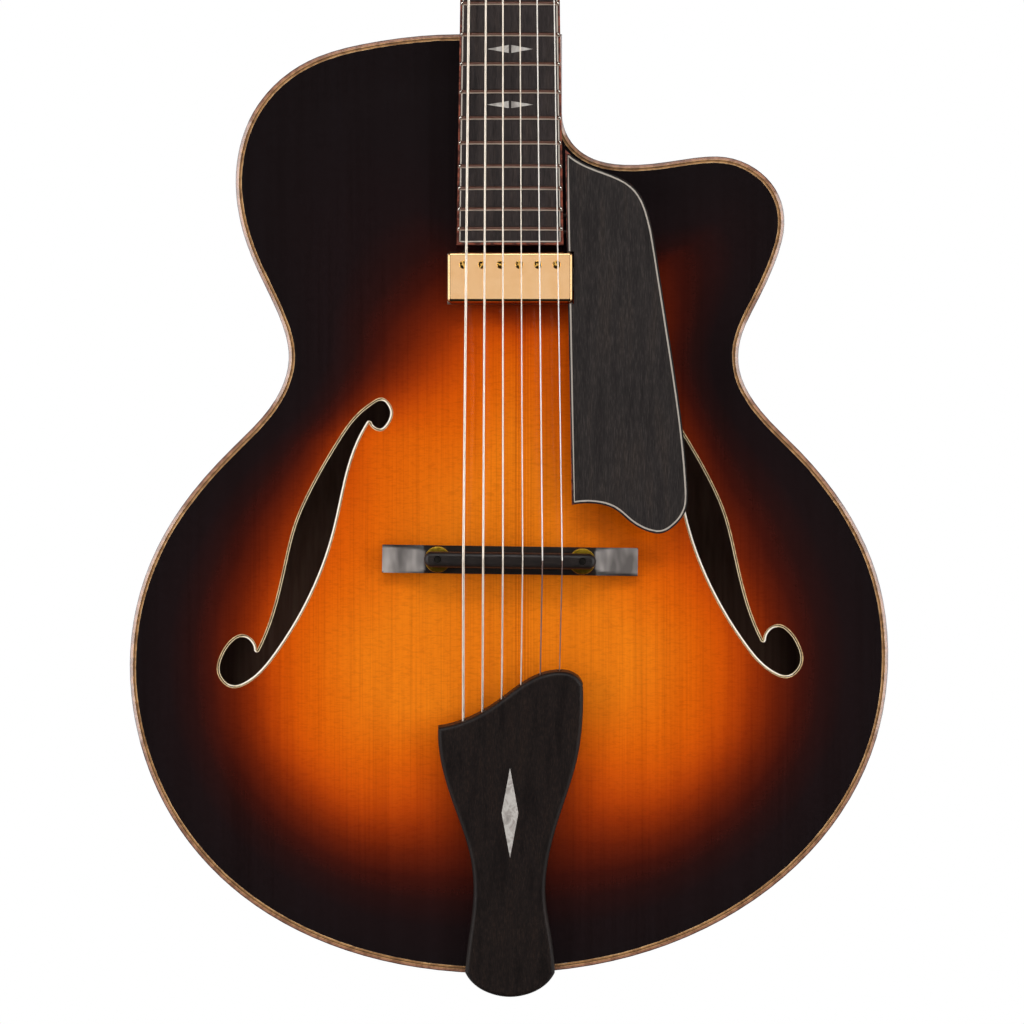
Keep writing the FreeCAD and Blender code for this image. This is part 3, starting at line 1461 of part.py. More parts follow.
def make_pickup():
    at = NECK.multiply(Placement(Vector(0, -d.pickup_drop, d.pickup_place), Rotation()))
    cover = new_body("cover_shell")
    sketch = new_sketch(cover, "XZ_Plane")
    add_polygon(sketch, [
        ("-pickup_length / 2", "-pickup_width / 2"), ("pickup_length / 2", "-pickup_width / 2"),
        ("pickup_length / 2", "pickup_width / 2"), ("-pickup_length / 2", "pickup_width / 2")])
    pad = add_feature(cover, "Pad", sketch, "pickup_depth", back=True)
    doc.recompute()
    uprights = edges_where(
        pad.Shape, lambda edge, middle: abs(edge.tangentAt(edge.FirstParameter).y) > STEEP_SHARE)
    rounded = dress(cover, "Fillet", pad, uprights, "pickup_round")
    doc.recompute()
    rims = edges_where(rounded.Shape, lambda edge, middle: middle.y < d.glue_gap)
    dress(cover, "Fillet", rounded, rims, "pickup_edge_round")
    sketch = new_sketch(cover, "XZ_Plane")
    sketch.setExpression("AttachmentOffset.Base.z", bound("-pickup_wall"))
    inner_x = "(pickup_length / 2 - pickup_wall)"
    inner_z = "(pickup_width / 2 - pickup_wall)"
    add_polygon(sketch, [
        ("-" + inner_x, "-" + inner_z), (inner_x, "-" + inner_z),
        (inner_x, inner_z), ("-" + inner_x, inner_z)])
    add_feature(cover, "Pocket", sketch, "pickup_depth")
    sketch = new_sketch(cover, "XZ_Plane")
    for string in range(STRINGS):
        x_sum = f"pole_spread * {string_share(string):.1f}"
        add_circle(sketch, x_sum, "pole_offset", "pole_radius + glue_gap")
    add_feature(cover, "Pocket", sketch, "2 * pickup_wall")
    keep_object("pickup_cover", cover, at)

    poles = []
    shanks = []
    head_low = d.pole_head - d.pole_stand
    for string in range(STRINGS):
        x = string_share(string) * d.pole_spread
        top = Vector(x, -d.pole_stand, d.pole_offset)
        under = Vector(x, head_low, d.pole_offset)
        foot = Vector(x, d.pickup_depth - d.glue_gap, d.pole_offset)
        poles.append(tube(d.pole_radius, top, under).fuse(tube(d.pole_shank_radius, under, foot)))
        shanks.append(tube(d.pole_shank_radius + d.glue_gap, top, foot))
    keep("pickup_poles", Part.makeCompound(poles), at)

    half = d.coil_length / 2
    coil_top = head_low + d.glue_gap
    coil_low = coil_top + d.coil_depth
    coils = []
    for side in (-1, 1):
        middle = side * d.pole_offset
        coil = block(-half, half, coil_top, coil_low, middle - d.coil_width / 2, middle + d.coil_width / 2)
        coils.append(coil.cut(Part.makeCompound(shanks)))
    keep("pickup_coils", Part.makeCompound(coils), at)
    magnet_half = d.magnet_width / 2
    keep("pickup_magnet", block(-half, half, coil_top, coil_low, -magnet_half, magnet_half), at)

    half = d.pickup_length / 2
    low = d.pickup_depth + d.base_plate
    ear_half = d.ear_width / 2
    ear_start = half + d.pickup_notch_gap
    ear_top = guard_back() + d.pickup_drop + d.glue_gap
    plate = block(-half, half, d.pickup_depth, low, -d.pickup_width / 2, d.pickup_width / 2)
    arm = block(0, ear_start + d.ear_length, d.pickup_depth, low, -ear_half, ear_half)
    ear = block(ear_start, ear_start + d.ear_length, ear_top, low, -ear_half, ear_half)
    keep("pickup_base", plate.fuse(arm).fuse(ear).removeSplitter(), at)


def make_volume():
    at = NECK.multiply(Placement(Vector(d.pot_place, guard_back(), d.pot_low), Rotation(RIGHT, -90)))
    pot = new_body("pot")
    sketch = new_sketch(pot, "XZ_Plane")
    end = "(pot_height + pot_shaft_depth)"
    add_polygon(sketch, [
        ("0", "glue_gap"), ("pot_radius", "glue_gap"), ("pot_radius", "pot_height"),
        ("pot_shaft_radius", "pot_height"), ("pot_shaft_radius", end), ("0", end)])
    revolve(pot, sketch)
    keep_object("volume_pot", pot, at)
    knob = new_body("knob")
    sketch = new_sketch(knob, "XZ_Plane")
    low = "(pot_height + knob_gap)"
    bore = "pot_shaft_radius + running_clearance"
    add_polygon(sketch, [
        (bore, low), ("knob_radius", low), ("knob_radius", f"{low} + knob_thickness"),
        (bore, f"{low} + knob_thickness")])
    revolve(knob, sketch)
    keep_object("volume_wheel", knob, at)


make_plates()
make_bindings()
make_rim()
make_tone_bars()
make_neck()
make_heel_cap()
make_fingerboard()
make_frets()
make_nut()
make_head_facing()
make_tuners()
make_strings()
make_bridge()
make_tailpiece()
make_jack()
make_pickguard()
make_pickup()
make_volume()

doc.recompute()
for item in doc.Objects:
    if "Invalid" in item.State or "Error" in item.State:
        raise RuntimeError(f"{item.Label} did not recompute")
for node in nodes:
    if node.Shape.isNull() or not node.Shape.isValid():
        raise RuntimeError(f"{node.Label} has no valid shape")

os.makedirs("parts", exist_ok=True)
for node in nodes:
    node.Shape.exportStep(f"parts/{node.Label}.step")
print(f"{len(nodes)} pieces written")
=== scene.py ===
# %% [markdown]
# # An archtop guitar
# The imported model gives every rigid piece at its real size. This lesson dresses it: each piece gets the
# finish of its real material, and the pieces whose fine form matters to the eye are modelled over it.

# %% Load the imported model
import math
import bpy
import numpy as np
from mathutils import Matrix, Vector


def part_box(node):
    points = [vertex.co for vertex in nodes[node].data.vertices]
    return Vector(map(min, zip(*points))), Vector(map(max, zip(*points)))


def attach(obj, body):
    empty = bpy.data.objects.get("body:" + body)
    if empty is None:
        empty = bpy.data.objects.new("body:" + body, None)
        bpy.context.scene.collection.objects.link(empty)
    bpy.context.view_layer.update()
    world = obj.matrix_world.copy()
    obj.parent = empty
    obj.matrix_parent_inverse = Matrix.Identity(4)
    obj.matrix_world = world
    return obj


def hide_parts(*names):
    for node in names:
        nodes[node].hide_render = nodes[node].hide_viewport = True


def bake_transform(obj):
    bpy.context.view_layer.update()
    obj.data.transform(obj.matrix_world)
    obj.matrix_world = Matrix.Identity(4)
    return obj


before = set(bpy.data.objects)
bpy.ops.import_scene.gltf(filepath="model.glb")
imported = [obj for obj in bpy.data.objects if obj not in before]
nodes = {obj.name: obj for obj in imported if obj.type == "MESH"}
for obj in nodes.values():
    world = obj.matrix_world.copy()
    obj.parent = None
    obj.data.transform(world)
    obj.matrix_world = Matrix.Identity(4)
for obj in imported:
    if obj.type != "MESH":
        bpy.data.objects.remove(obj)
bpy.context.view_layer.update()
scene = bpy.context.scene
MM = 0.001

# %% [markdown]
# ## Camera
# The photograph looks straight at the top from far away, so its lines hardly converge. A long lens five
# metres off gives that. The width of the view is the real width that the picture covers at the top.

# %% Camera
VIEW_WIDTH = 549.9 * MM
VIEW_CENTRE = Vector((1.07 * MM, 0.0, 248.4 * MM))
TOP_PLANE = -50 * MM
CAMERA_DISTANCE = 5.0
SENSOR = 36.0
camera_data = bpy.data.cameras.new("camera")
camera_data.sensor_width = SENSOR
camera_data.lens = SENSOR * CAMERA_DISTANCE / VIEW_WIDTH
camera_data.dof.use_dof = False
camera = bpy.data.objects.new("camera", camera_data)
camera.location = VIEW_CENTRE + Vector((0, TOP_PLANE - CAMERA_DISTANCE, 0))
camera.rotation_euler = (math.radians(90), 0, 0)
scene.collection.objects.link(camera)
scene.camera = camera
scene.view_settings.view_transform = "Standard"
print("lens", round(camera_data.lens, 1), "mm")

# %% [markdown]
# ## Colours and nodes
# A colour is written as it looks on a screen, in hex, and shaders want it linear, so one function turns
# it. One more fills a shader node's inputs: it sets the values it is given and links the sockets.

# %% Colour and node helpers
def linear(hex_colour, alpha=1.0):
    """Turn an sRGB hex colour into the linear colour that shaders use."""
    channels = []
    for start in (1, 3, 5):
        value = int(hex_colour[start:start + 2], 16) / 255
        channels.append(value / 12.92 if value <= 0.04045 else ((value + 0.055) / 1.055) ** 2.4)
    return (*channels, alpha)


def feed(node, inputs):
    """Fill a node's inputs: each takes a value to set or a socket to link."""
    for name, value in inputs.items():
        if isinstance(value, bpy.types.NodeSocket):
            node.id_data.links.new(value, node.inputs[name])
        else:
            node.inputs[name].default_value = value


def add_node(tree, kind, inputs=None, stops=None, **settings):
    """Add a shader node of a kind, with its settings, its inputs and the stops of its colours."""
    node = tree.nodes.new("ShaderNode" + kind)
    for name, value in settings.items():
        setattr(node, name, value)
    feed(node, inputs or {})
    if stops:
        elements = node.color_ramp.elements
        while len(elements) < len(stops):
            elements.new(1.0)
        for element, (place, colour) in zip(elements, stops):
            element.position = place
            element.color = linear(colour)
    return node


def new_material(name, shader_values):
    """Start a material whose shader has these even values, and hand back its tree and its shader."""
    material = bpy.data.materials.new(name)
    material.use_nodes = True
    shader = material.node_tree.nodes["Principled BSDF"]
    feed(shader, shader_values)
    return material, material.node_tree, shader


def dress(names, material):
    """Give carried-over nodes their material."""
    for name in names:
        nodes[name].data.materials.clear()
        nodes[name].data.materials.append(material)


print("mid grey is", [round(v, 3) for v in linear("#808080")[:3]])

# %% [markdown]
# Five things come back in most finishes: noise in the object's own metres, a ramp that turns a value into a
# colour, one colour laid over another by multiplying, a value that the points keep, and plain sums.

# %% Helpers for finishes
MIX_FACTOR, MIX_A, MIX_B, MIX_RESULT = 0, 6, 7, 2


def object_noise(tree, scale, **inputs):
    """Noise with so many clouds to the metre along x, y and z of the object."""
    where = add_node(tree, "TexCoord")
    laid = add_node(tree, "Mapping", {"Vector": where.outputs["Object"], "Scale": scale})
    noise = add_node(tree, "TexNoise", {"Vector": laid.outputs["Vector"], "Scale": 1.0, **inputs})
    return noise.outputs["Fac"]


def ramp(tree, value, stops):
    """The colour that a ramp with these stops gives a value."""
    return add_node(tree, "ValToRGB", {"Fac": value}, stops).outputs["Color"]


def multiply(tree, share, colour, tone):
    """Lay a tone over a colour by multiplying, to a share."""
    mixed = add_node(tree, "Mix", {MIX_FACTOR: share, MIX_A: colour, MIX_B: tone},
                     data_type="RGBA", blend_type="MULTIPLY")
    return mixed.outputs[MIX_RESULT]


def kept_value(tree, name):
    """The value of this name that the points of a piece keep."""
    return add_node(tree, "Attribute", attribute_name=name).outputs["Fac"]


def calculate(tree, operation, *values):
    """What a sum with one or two values gives."""
    return add_node(tree, "Math", dict(enumerate(values)), operation=operation).outputs["Value"]


print("a mix node's colours go into sockets", MIX_A, "and", MIX_B)

# %% [markdown]
# ## Light
# The guitar hangs by its neck in a white studio. A tall soft box on each side draws the white lines
# along the bound edges, a broad one high above gives the soft shadows, and a white card over the camera
# lies in the gold of the tilted pickup. The world is white to the eye. To gloss it is a dark room with a
# white wall on either side and a paler end behind the guitar, and as a light it is even and moderate.

# %% World
WORLD_LIGHT = 0.34
ROOM_DARK = 0.02
WALL_PALE = 0.9
WALL_STARTS, WALL_FULL = 0.55, 0.78
END_PALE = 0.3
END_STARTS, END_FULL = 0.2, 0.7
world = bpy.data.worlds.new("studio")
scene.world = world
world.use_nodes = True
tree = world.node_tree
path = add_node(tree, "LightPath")
direction = add_node(tree, "TexCoord")
parts = add_node(tree, "SeparateXYZ", {"Vector": direction.outputs["Generated"]})
aside = calculate(tree, "ABSOLUTE", parts.outputs["X"])
room = add_node(tree, "MapRange", {
    "Value": aside, "From Min": WALL_STARTS, "From Max": WALL_FULL,
    "To Min": ROOM_DARK, "To Max": WALL_PALE}, interpolation_type="SMOOTHSTEP")
end = add_node(tree, "MapRange", {
    "Value": parts.outputs["Y"], "From Min": END_STARTS, "From Max": END_FULL,
    "To Min": ROOM_DARK, "To Max": END_PALE}, interpolation_type="SMOOTHSTEP")
around = calculate(tree, "MAXIMUM", room.outputs["Result"], end.outputs["Result"])
seen = calculate(tree, "MAXIMUM", path.outputs["Is Camera Ray"], path.outputs["Is Transmission Ray"])
mirrored = add_node(tree, "Mix", {"Factor": path.outputs["Is Glossy Ray"], "A": WORLD_LIGHT, "B": around})
strength = add_node(tree, "Mix", {"Factor": seen, "A": mirrored.outputs["Result"], "B": 1.0})
feed(tree.nodes["Background"], {"Color": linear("#ffffff"), "Strength": strength.outputs["Result"]})
print("world lights with", WORLD_LIGHT)

# %% Soft boxes
# Each box: name, place, size across and up, watts
SOFT_BOXES = [
    ("box_left", (-2.2, -2.1, 0.5), (0.7, 2.0), 28),
    ("box_right", (2.2, -2.1, 0.5), (0.7, 2.0), 25),
    ("box_above", (0.0, -2.9, 2.7), (2.4, 0.9), 49),
    ("pickup_card", (0.0, -4.0, 1.04), (0.9, 0.42), 1.2),
]
for name, place, (across, up), watts in SOFT_BOXES:
    lamp = bpy.data.lights.new(name, "AREA")
    lamp.shape = "RECTANGLE"
    lamp.size = across
    lamp.size_y = up
    lamp.energy = watts
    box = bpy.data.objects.new(name, lamp)
    box.location = place
    aim = VIEW_CENTRE - Vector(place)
    box.rotation_euler = aim.to_track_quat("-Z", "Y").to_euler()
    scene.collection.objects.link(box)
print(len(SOFT_BOXES), "soft boxes")

# %% Flag the card
# Flags keep the card's light on the pickup, so that it leaves no patch in the lacquer
flagged = bpy.data.collections.new("lit_by_card")
bpy.data.objects["pickup_card"].light_linking.receiver_collection = flagged
print("the card lights only what is put into", flagged.name)

# %% Floor
FLOOR_DROP = 0.7
FLOOR_RADIUS = 7.5
FLOOR_GLOW = 0.6
bpy.ops.object.select_all(action="DESELECT")
bpy.ops.mesh.primitive_circle_add(vertices=96, radius=FLOOR_RADIUS, fill_type="NGON",
                                  location=(0, 0, -FLOOR_DROP))
floor = bpy.context.object
floor.name = "studio_floor"
bpy.ops.object.transform_apply(location=True, rotation=True, scale=True)
paper, tree, shader = new_material("matt_paper", {"Roughness": 0.9, "Base Color": linear("#ececec")})
floor.data.materials.append(paper)
path = add_node(tree, "LightPath")
share = calculate(tree, "MULTIPLY", path.outputs["Is Camera Ray"], FLOOR_GLOW)
white = add_node(tree, "Emission", {"Color": linear("#ffffff"), "Strength": 1.0})
pale = add_node(tree, "MixShader", {0: share, 1: shader.outputs["BSDF"], 2: white.outputs["Emission"]})
feed(tree.nodes["Material Output"], {"Surface": pale.outputs["Shader"]})
floor.visible_glossy = False
print("floor at", -FLOOR_DROP)

# %% [markdown]
# ## Copies to model on
# Where a carried-over node has the right form but needs finer points, or a value at each point that its
# finish reads, a copy of its mesh is modelled on and stands for it. The node's loose triangles are merged
# first. A few small functions do what comes up every time: pick a piece, change mode, cut.

# %% Modelling helpers
MERGE = 0.004 * MM


def to_mode(mode):
    """Open the active piece for editing, or close it again."""
    bpy.ops.object.mode_set(mode=mode)


def pick(piece):
    """Make one object the only one selected and active."""
    if bpy.context.object and bpy.context.object.mode != "OBJECT":
        to_mode("OBJECT")
    bpy.ops.object.select_all(action="DESELECT")
    piece.hide_set(False)
    piece.select_set(True)
    bpy.context.view_layer.objects.active = piece


def select_in(piece, kind, chosen):
    """Open a piece for editing, with the edges or faces selected for which chosen holds."""
    pick(piece)
    to_mode("EDIT")
    bpy.ops.mesh.select_mode(type=kind)
    bpy.ops.mesh.select_all(action="DESELECT")
    to_mode("OBJECT")
    for element in piece.data.edges if kind == "EDGE" else piece.data.polygons:
        element.select = bool(chosen(element))
    to_mode("EDIT")


def merge_points(piece):
    """Merge the points of a piece that lie on each other."""
    pick(piece)
    to_mode("EDIT")
    bpy.ops.mesh.select_all(action="SELECT")
    bpy.ops.mesh.remove_doubles(threshold=MERGE)
    to_mode("OBJECT")


def copy_node(node, name):
    """Copy a node's mesh into a new object, with its loose triangles merged."""
    piece = bpy.data.objects.new(name, nodes[node].data.copy())
    scene.collection.objects.link(piece)
    piece.data.materials.clear()
    pick(piece)
    bpy.ops.mesh.customdata_custom_splitnormals_clear()
    merge_points(piece)
    return piece


print("copies merge points closer than", MERGE)


# %% Helpers for points and finishing
def points_of(piece):
    """A piece's points as rows of an array."""
    flat = np.zeros(len(piece.data.vertices) * 3)
    piece.data.vertices.foreach_get("co", flat)
    return flat.reshape(-1, 3)


def set_points(piece, points):
    """Move a piece's points to these places."""
    piece.data.vertices.foreach_set("co", points.ravel())
    piece.data.update()


def set_value(piece, name, values):
    """Keep one number at each point of a piece, for its material to read."""
    attribute = piece.data.attributes.new(name, "FLOAT", "POINT")
    attribute.data.foreach_set("value", np.asarray(values, np.float32))


def cut_grid(piece, axis, step):
    """Cut a piece across one axis at every step, so that it has points close together."""
    places = points_of(piece)[:, axis]
    normal = np.eye(3)[axis]
    pick(piece)
    to_mode("EDIT")
    for place in np.arange(math.ceil(places.min() / step) * step, places.max(), step):
        bpy.ops.mesh.select_all(action="SELECT")
        bpy.ops.mesh.bisect(plane_co=(place * normal).tolist(), plane_no=normal.tolist())
    to_mode("OBJECT")


def smooth(piece, degrees=35):
    """Shade a piece smooth, except over edges sharper than an angle."""
    pick(piece)
    bpy.ops.object.shade_smooth_by_angle(angle=math.radians(degrees))


def finish_piece(piece, material, body, slot, *replaced):
    """Give a piece its finish, the body it rides on, and the nodes that it stands for."""
    piece.data.materials.clear()
    piece.data.materials.append(material)
    if body:
        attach(piece, body)
    if replaced:
        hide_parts(*replaced)
    print(piece.name, len(piece.data.polygons), "faces")


def ease(share):
    """Let a share from 0 to 1 start and end softly."""
    return share * share * (3 - 2 * share)


print("half way eases to", ease(0.5))

# %% [markdown]
# ## The rim
# The finish of the top is sprayed dark from the edge inwards, so it has to know how far each point is
# from the rim. The rim is read from the edge binding: its front face is a narrow ring, and the longer of
# the ring's two edges is the outline of the body.

# %% Read the outline from the binding
FACING = 0.9


def ring_edges(piece, facing):
    """The edges round the faces of a piece that face a way, as closed rows of points."""
    mesh = piece.data
    uses = {}
    for face in mesh.polygons:
        if face.normal.dot(facing) > FACING:
            for key in face.edge_keys:
                uses[key] = uses.get(key, 0) + 1
    links = {}
    for first, second in (key for key, count in uses.items() if count == 1):
        links.setdefault(first, []).append(second)
        links.setdefault(second, []).append(first)
    rows = []
    while links:
        row = [next(iter(links))]
        while True:
            following = [point for point in links.pop(row[-1]) if point in links]
            if not following:
                break
            row.append(following[0])
        rows.append(np.array([mesh.vertices[index].co for index in row]))
    return sorted(rows, key=len_of_ring, reverse=True)


def len_of_ring(row):
    """How long a closed row of points is, all the way round."""
    return np.linalg.norm(row - np.roll(row, 1, axis=0), axis=1).sum()


def even_points(row, step):
    """Points at an even step round a closed row."""
    closed = np.vstack([row, row[:1]])
    along = np.concatenate([[0], np.cumsum(np.linalg.norm(np.diff(closed, axis=0), axis=1))])
    places = np.arange(0, along[-1], step)
    return np.stack([np.interp(places, along, closed[:, axis]) for axis in range(3)], axis=1)


def distance_to(row, points):
    """Least distance of each point from a row of points, seen from the front."""
    least = np.full(len(points), np.inf)
    for x, _, z in row:
        np.minimum(least, np.hypot(points[:, 0] - x, points[:, 2] - z), out=least)
    return least


FRONT = Vector((0, -1, 0))
BACK = Vector((0, 1, 0))
top_edge_binding = copy_node("top_binding", "top_edge_binding")
rim_rows = ring_edges(top_edge_binding, FRONT)
RIM = even_points(rim_rows[0], 2 * MM)
INNER_RIM = even_points(rim_rows[1], 1 * MM)
OUTLINE = even_points(rim_rows[0], 0.3 * MM)
print(len(rim_rows), "edges, outline", round(len_of_ring(rim_rows[0]), 3), "m round")

# %% [markdown]
# ## Spruce top with a sunburst
# The top is carved from spruce: straight pale grain about a millimetre apart, with faint silk across it.
# The finish is amber, sprayed through red-brown to black towards the rim, under gloss lacquer. The upper
# bout is nearly black all over, so the glow also fades above the waist, and out to the sides it reaches a
# little nearer to the rim. Beside the sound hole on the treble side the glow is held in, as painted shade
# where less light and the tailpiece's shadow fall, and it climbs higher by the pickguard. At the height of
# the tailpiece the middle is held in too, as a painted shadow of the tailpiece. Each point of the top keeps
# how far it is into the glow, and a colour ramp turns that into the burst. The top is two halves of one
# board: by their joint the grain lines stand out dark.

# %% Sunburst value
# By height: how far the glow reaches in the middle, and how much that changes to the sides and to the treble;
# the middle is held in at the tailpiece as a painted shadow, and the treble side by the sound hole as painted
# shade
GLOW_REACH = 130 * MM
GLOW_HEIGHTS = np.array([40, 110, 150, 200, 225, 260, 287, 330, 350, 368, 384, 416, 450]) * MM
GLOW_AND_SHADOW_SHARES = [0.90, 0.73, 0.95, 0.99, 1.03, 1.10, 1.04, 0.84, 0.72, 0.58, 0.43, 0.19, 0.08]
SIDE_SHARES = [1.10, 1.40, 1.06, 1.06, 1.08, 1.26, 1.60, 1.20, 1.15, 1.0, 1.0, 1.0, 1.0]
SIDE_START = 20 * MM
SIDE_RUN = 70 * MM
TREBLE_GLOW_AND_SHADE_SHARES = [1.0, 0.98, 0.94, 0.86, 0.82, 0.80, 0.82, 1.45, 1.80, 2.20, 2.4, 2.2, 1.5]
TREBLE_RUN = 120 * MM


def glow_values(piece):
    """How far each point lies in the glow, from 0 at the rim to 1 in the amber, held in where shadow and
    shade are painted.
    """
    points = points_of(piece)
    middle, sides, trebles = (np.interp(points[:, 2], GLOW_HEIGHTS, shares)
                              for shares in (GLOW_AND_SHADOW_SHARES, SIDE_SHARES, TREBLE_GLOW_AND_SHADE_SHARES))
    side = ease(np.clip((np.abs(points[:, 0]) - SIDE_START) / SIDE_RUN, 0, 1))
    treble = np.clip(points[:, 0] / TREBLE_RUN, 0, 1)
    fade = middle * (1 + side * (sides - 1)) * (1 + treble * (trebles - 1))
    return np.clip(distance_to(RIM, points) * fade / GLOW_REACH, 0, 1)


print("the glow is full", GLOW_REACH, "m in from the rim")

# %% Spruce
GRAIN = 1.1 * MM
SILK = 1.1 * MM
BURST = [
    (0.00, "#181315"), (0.16, "#1d1315"), (0.26, "#2a1211"), (0.34, "#42140c"), (0.43, "#6a2008"),
    (0.51, "#943106"), (0.58, "#ba4505"), (0.66, "#d45704"), (0.78, "#e26706"), (1.00, "#f08113"),
]
spruce, tree, shader = new_material("lacquered_spruce", {
    "Roughness": 0.5, "Specular IOR Level": 0.0, "Coat Weight": 1.0, "Coat Roughness": 0.1})
FIGURES = [
    # How far each figure runs across, into and along the top, its waviness, its spread and its strength
    ("grain", (GRAIN, 60 * MM, 120 * MM), 0.0, 0.20, 0.26),
    ("bands", (9 * MM, 60 * MM, 400 * MM), 0.0, 0.20, 0.22),
    ("silk", (4.5 * MM, 60 * MM, SILK), 0.9, 0.16, 0.22),
]
colour = ramp(tree, kept_value(tree, "glow"), BURST)
for name, runs, waviness, spread, strength in FIGURES:
    figure = object_noise(tree, [1 / run for run in runs], Detail=3.0, Roughness=0.6, Distortion=waviness)
    tone = ramp(tree, figure, [(0.5 - spread, "#a87a55"), (0.50, "#f2e6da"), (0.5 + spread, "#ffffff")])
    colour = multiply(tree, strength, colour, tone)
    print(name, "lies over the burst")

# %% Grain by the centre joint
# A wave texture goes through one wave in pi / 10 over its scale
LINE_STEP = 1.6 * MM
LINES_END = 15 * MM
where = add_node(tree, "TexCoord")
parts = add_node(tree, "SeparateXYZ", {"Vector": where.outputs["Object"]})
beside = add_node(tree, "MapRange", {
    "Value": parts.outputs["X"], "From Min": 0.0, "From Max": LINES_END})
reach = ramp(tree, beside.outputs["Result"], [
    (0.12, "#000000"), (0.20, "#c8c8c8"), (0.70, "#a0a0a0"), (0.95, "#000000")])
lines = add_node(tree, "TexWave", {
    "Vector": where.outputs["Object"], "Scale": math.pi / 10 / LINE_STEP, "Distortion": 0.4, "Detail": 1.0})
tone = ramp(tree, lines.outputs["Fac"], [(0.0, "#b88a66"), (0.45, "#ffffff")])
feed(shader, {"Base Color": multiply(tree, reach, colour, tone)})
print(spruce.name)

# %% Bare wood inside the body
bare_wood, tree, shader = new_material("bare_wood", {"Roughness": 0.75})
grain = object_noise(tree, (0.5 / GRAIN, 0.5 / GRAIN, 0.02 / GRAIN), Detail=3.0)
tone = ramp(tree, grain, [(0.30, "#7a5543"), (0.50, "#87614e"), (0.70, "#916b58")])
feed(shader, {"Base Color": tone})
dress(["linings", "neck_block", "tail_block", "tone_bars"], bare_wood)
print(bare_wood.name)

# %% [markdown]
# ## The arch of the top
# The top was carved to a smooth arch: it dips a little inside the binding, climbs, and flattens in the
# middle. Gloss lacquer shows every facet, so the points of the outside are laid on the arch itself. The
# height comes from a soft distance to the rim, which rounds off where the waist or the bouts meet.

# %% Arch
ARCH_START = 6 * MM
ARCH_RUN = 134 * MM
DIP = 0.8 * MM
DIP_PLACE = 20 * MM
DIP_WIDTH = 10 * MM
EDGE_HEIGHT = 38 * MM
OUTWARD = 0.8


def soft_distance(points):
    """Distance from the rim: true by a straight rim, soft where two parts of it are about as near."""
    steps = np.linalg.norm(RIM - np.roll(RIM, 1, axis=0), axis=1)
    total = np.zeros(len(points))
    for (x, _, z), step in zip(RIM, steps):
        square = np.maximum((points[:, 0] - x) ** 2 + (points[:, 2] - z) ** 2, 1e-9)
        total += step / square ** 2.5
    return (total * 0.75) ** -0.25


def lay_on_arch(piece, outwards, arch):
    """Move the points of a plate's outside onto the arch."""
    points = points_of(piece)
    outside = np.zeros(len(points), bool)
    other = np.zeros(len(points), bool)
    for face in piece.data.polygons:
        chosen = outside if face.normal.dot(outwards) > OUTWARD else other
        chosen[list(face.vertices)] = True
    outside &= ~other
    reach = soft_distance(points[outside])
    climb = ease(np.clip((reach - ARCH_START) / ARCH_RUN, 0, 1))
    height = EDGE_HEIGHT + arch * climb - DIP * np.exp(-((reach - DIP_PLACE) / DIP_WIDTH) ** 2)
    moved = height * outwards.y - points[outside, 1]
    points[outside, 1] = height * outwards.y
    set_points(piece, points)
    print(piece.name, "laid on its arch, largest move", round(float(np.abs(moved).max() / MM), 2), "mm")


print("the arch climbs over", ARCH_RUN, "m")

# %% Carved top
GRID = 6 * MM
TOP_ARCH = 18 * MM
BACK_ARCH = 16 * MM
INWARD = -0.5


def carve(node, name, outwards, arch):
    """Copy a plate, cut it to a grid and lay its outside on the arch."""
    plate = copy_node(node, name)
    cut_grid(plate, 0, GRID)
    cut_grid(plate, 2, GRID)
    lay_on_arch(plate, outwards, arch)
    return plate


def inside_faces(piece, outwards, material):
    """Leave the inside of a plate bare: a second material on the faces that look inwards."""
    piece.data.materials.append(material)
    for face in piece.data.polygons:
        face.material_index = 1 if face.normal.dot(outwards) < INWARD else 0


carved_top = carve("top_plate", "carved_top", FRONT, TOP_ARCH)
set_value(carved_top, "glow", glow_values(carved_top))
smooth(carved_top)
finish_piece(carved_top, spruce, "body", "spruce_top", "top_plate")
inside_faces(carved_top, FRONT, bare_wood)

# %% [markdown]
# ## Maple back and sides
# The back is carved and the sides are bent from figured maple. Its curl is a ripple in the fibres, which
# shows as bands across the grain some seven millimetres apart. The same burst lies over it, darker, and
# the sides are almost black. The neck is rubbed down to a satin that doesn't drag on the hand.

# %% Maple
CURL = 7.5 * MM


def maple(name, low, middle, high, gloss, by_glow):
    """Figured maple under lacquer, in three tones; by_glow darkens it towards the rim."""
    material, tree, shader = new_material(name, {
        "Roughness": 0.5, "Specular IOR Level": 0.08, "Coat Weight": 1.0, "Coat Roughness": gloss})
    curl = object_noise(tree, (0.16 / CURL, 0.16 / CURL, 1.0 / CURL), Detail=2.0, Distortion=0.6)
    colour = ramp(tree, curl, [(0.34, low), (0.50, middle), (0.66, high)])
    if by_glow:
        burst = ramp(tree, kept_value(tree, "glow"), [
            (0.0, "#0d0605"), (0.30, "#1a0906"), (0.55, "#7a3413"), (0.80, "#e2a065"), (1.0, "#ffffff")])
        colour = multiply(tree, 1.0, colour, burst)
    feed(shader, {"Base Color": colour})
    return material


maple_back = maple("lacquered_maple_back", "#a85a1c", "#d28534", "#e8a653", 0.1, True)
maple_sides = maple("lacquered_maple_sides", "#1c0b06", "#331409", "#4a200e", 0.1, False)
maple_neck = maple("lacquered_maple_neck", "#2c120a", "#43200f", "#5a2f17", 0.3, False)
dress(["side_bass", "side_treble"], maple_sides)
dress(["neck"], maple_neck)
carved_back = carve("back_plate", "carved_back", BACK, BACK_ARCH)
set_value(carved_back, "glow", np.clip(distance_to(RIM, points_of(carved_back)) / GLOW_REACH, 0, 1))
smooth(carved_back)
finish_piece(carved_back, maple_back, "body", "maple", "back_plate")
inside_faces(carved_back, BACK, bare_wood)

